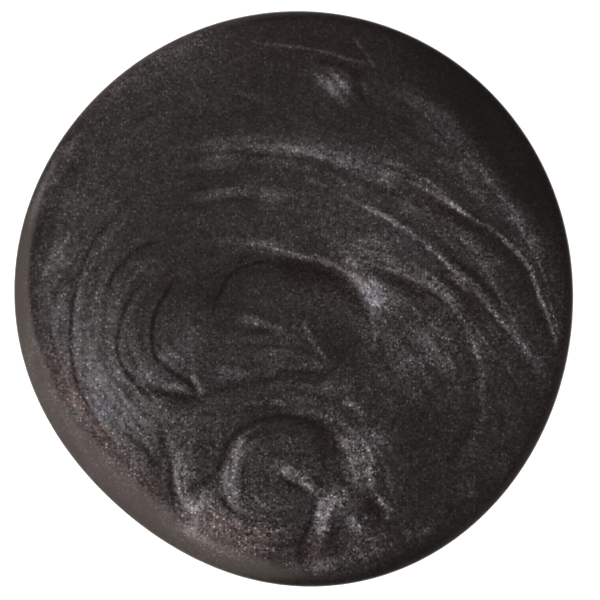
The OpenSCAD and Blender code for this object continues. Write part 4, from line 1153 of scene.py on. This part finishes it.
FLOOR_HALF = 4  # half the floor's width
WINDOW_WAY = (209, 27)  # the middle of the window
WINDOW_EDGE, WINDOW_CORE = 0.62, 0.75  # cosines of how far its edge and its full light reach
BRIGHT_SIDE_WAY = (200, 45)  # the window is brighter towards here
WINDOW_GLOW = 1.85
PALE_SIDE_WAY, FAR_SIDE_WAY = (122, -15), (328, -15)
SIDE_EDGE = 0.55  # cosine of how far the two pale sides reach
ROOM_DIM, ROOM_PALE, ROOM_FAR = 0.055, 0.95, 0.4  # brightness of the room and of its two sides
ROOM_TINT = (1, 0.825, 0.735, 1)

FILL_AZIMUTHS = (45, 135, 225, 315)
FILL_RISE, FILL_DISTANCE, FILL_SIZE, FILL_POWER = 58, 3, 2, 75  # degrees, metres twice, watts

FRAME_HEIGHT = 41.61 * MM  # what the camera sees across the cake's top
VIEW_CENTRE = (0.44 * MM, -0.07 * MM)
SENSOR, LENS = 36.0, 400.0  # in millimetres
CLIP_START, CLIP_END = 0.01, 10


def direction(azimuth, elevation):
    turn, rise = math.radians(azimuth), math.radians(elevation)
    return (math.cos(turn) * math.cos(rise), math.sin(turn) * math.cos(rise), math.sin(rise))


def make_floor():
    mesh = bpy.data.meshes.new("floor")
    signs = ((-1, -1), (1, -1), (1, 1), (-1, 1))
    mesh.from_pydata([(FLOOR_HALF * x, FLOOR_HALF * y, 0) for x, y in signs], [], [(0, 1, 2, 3)])
    mesh.materials.append(floor_material())
    place_in_scene("floor", mesh)


def fill_light(azimuth):
    """A large soft lamp that faces the cake and shows in no reflection."""
    name = "fill_%d" % azimuth
    light = bpy.data.lights.new(name, "AREA")
    light.size = FILL_SIZE
    light.energy = FILL_POWER
    obj = place_in_scene(name, light)
    way = Vector(direction(azimuth, FILL_RISE))
    obj.location = way * FILL_DISTANCE
    obj.rotation_euler = (-way).to_track_quat("-Z", "Y").to_euler()
    obj.visible_glossy = obj.visible_camera = False


def make_world():
    """A dim, slightly warm room with one large soft window and two pale low sides."""
    world = bpy.data.worlds.new("studio")
    bpy.context.scene.world = world
    world.use_nodes = True
    n = Nodes(world.node_tree)
    sky = n.place("Generated")

    def towards(way, edge, full, least, most, kind="LINEAR"):
        """A value that grows from least to most as the sky's direction nears the way."""
        return n.span(n.along(sky, direction(*way)), edge, full, least, most, kind)

    pane = towards(WINDOW_WAY, WINDOW_EDGE, WINDOW_CORE, 0, 1, "SMOOTHSTEP")
    window = n.times(pane, towards(BRIGHT_SIDE_WAY, 0, 1, 0, WINDOW_GLOW))
    pale_side = towards(PALE_SIDE_WAY, SIDE_EDGE, 1, ROOM_DIM, ROOM_PALE)
    far_side = towards(FAR_SIDE_WAY, SIDE_EDGE, 1, 0, ROOM_FAR)
    n.fill(n.tree.nodes["Background"], ROOM_TINT, n.plus(window, n.plus(pale_side, far_side)))


def make_camera():
    camera = bpy.data.cameras.new("camera")
    camera.sensor_width = SENSOR
    camera.lens = LENS
    camera.clip_start, camera.clip_end = CLIP_START, CLIP_END
    obj = place_in_scene("camera", camera)
    obj.location = (*VIEW_CENTRE, cad_box[1][2] + FRAME_HEIGHT * LENS / SENSOR)
    bpy.context.scene.camera = obj


def main():
    make_camera()
    layout = face_layout()
    xy = layout[0]
    fields = marbling(xy)
    heights = (TOP + relief(xy, fields["pearl"], fields["crease"]), np.full(len(xy), INLAY_FLOOR))
    points = np.vstack([np.column_stack([xy, z]) for z in heights])
    fields = {field: np.tile(fields[field], 2) for field in FIELDS}
    materials = {slot: ink_material(slot) for slot in sorted(set(SLOTS.values()))}
    for node in INLAYS:
        inlay_piece(node, layout, points, fields, materials[SLOTS[node]])
    face_piece(layout, points, fields, materials[SLOTS["pearl_face"]])
    base_piece(ink_material("base_body_ink", sparkle=0.6, gloss=0.24))
    make_floor()
    make_world()
    for azimuth in FILL_AZIMUTHS:
        fill_light(azimuth)
    bpy.context.scene.view_settings.view_transform = "Standard"


main()
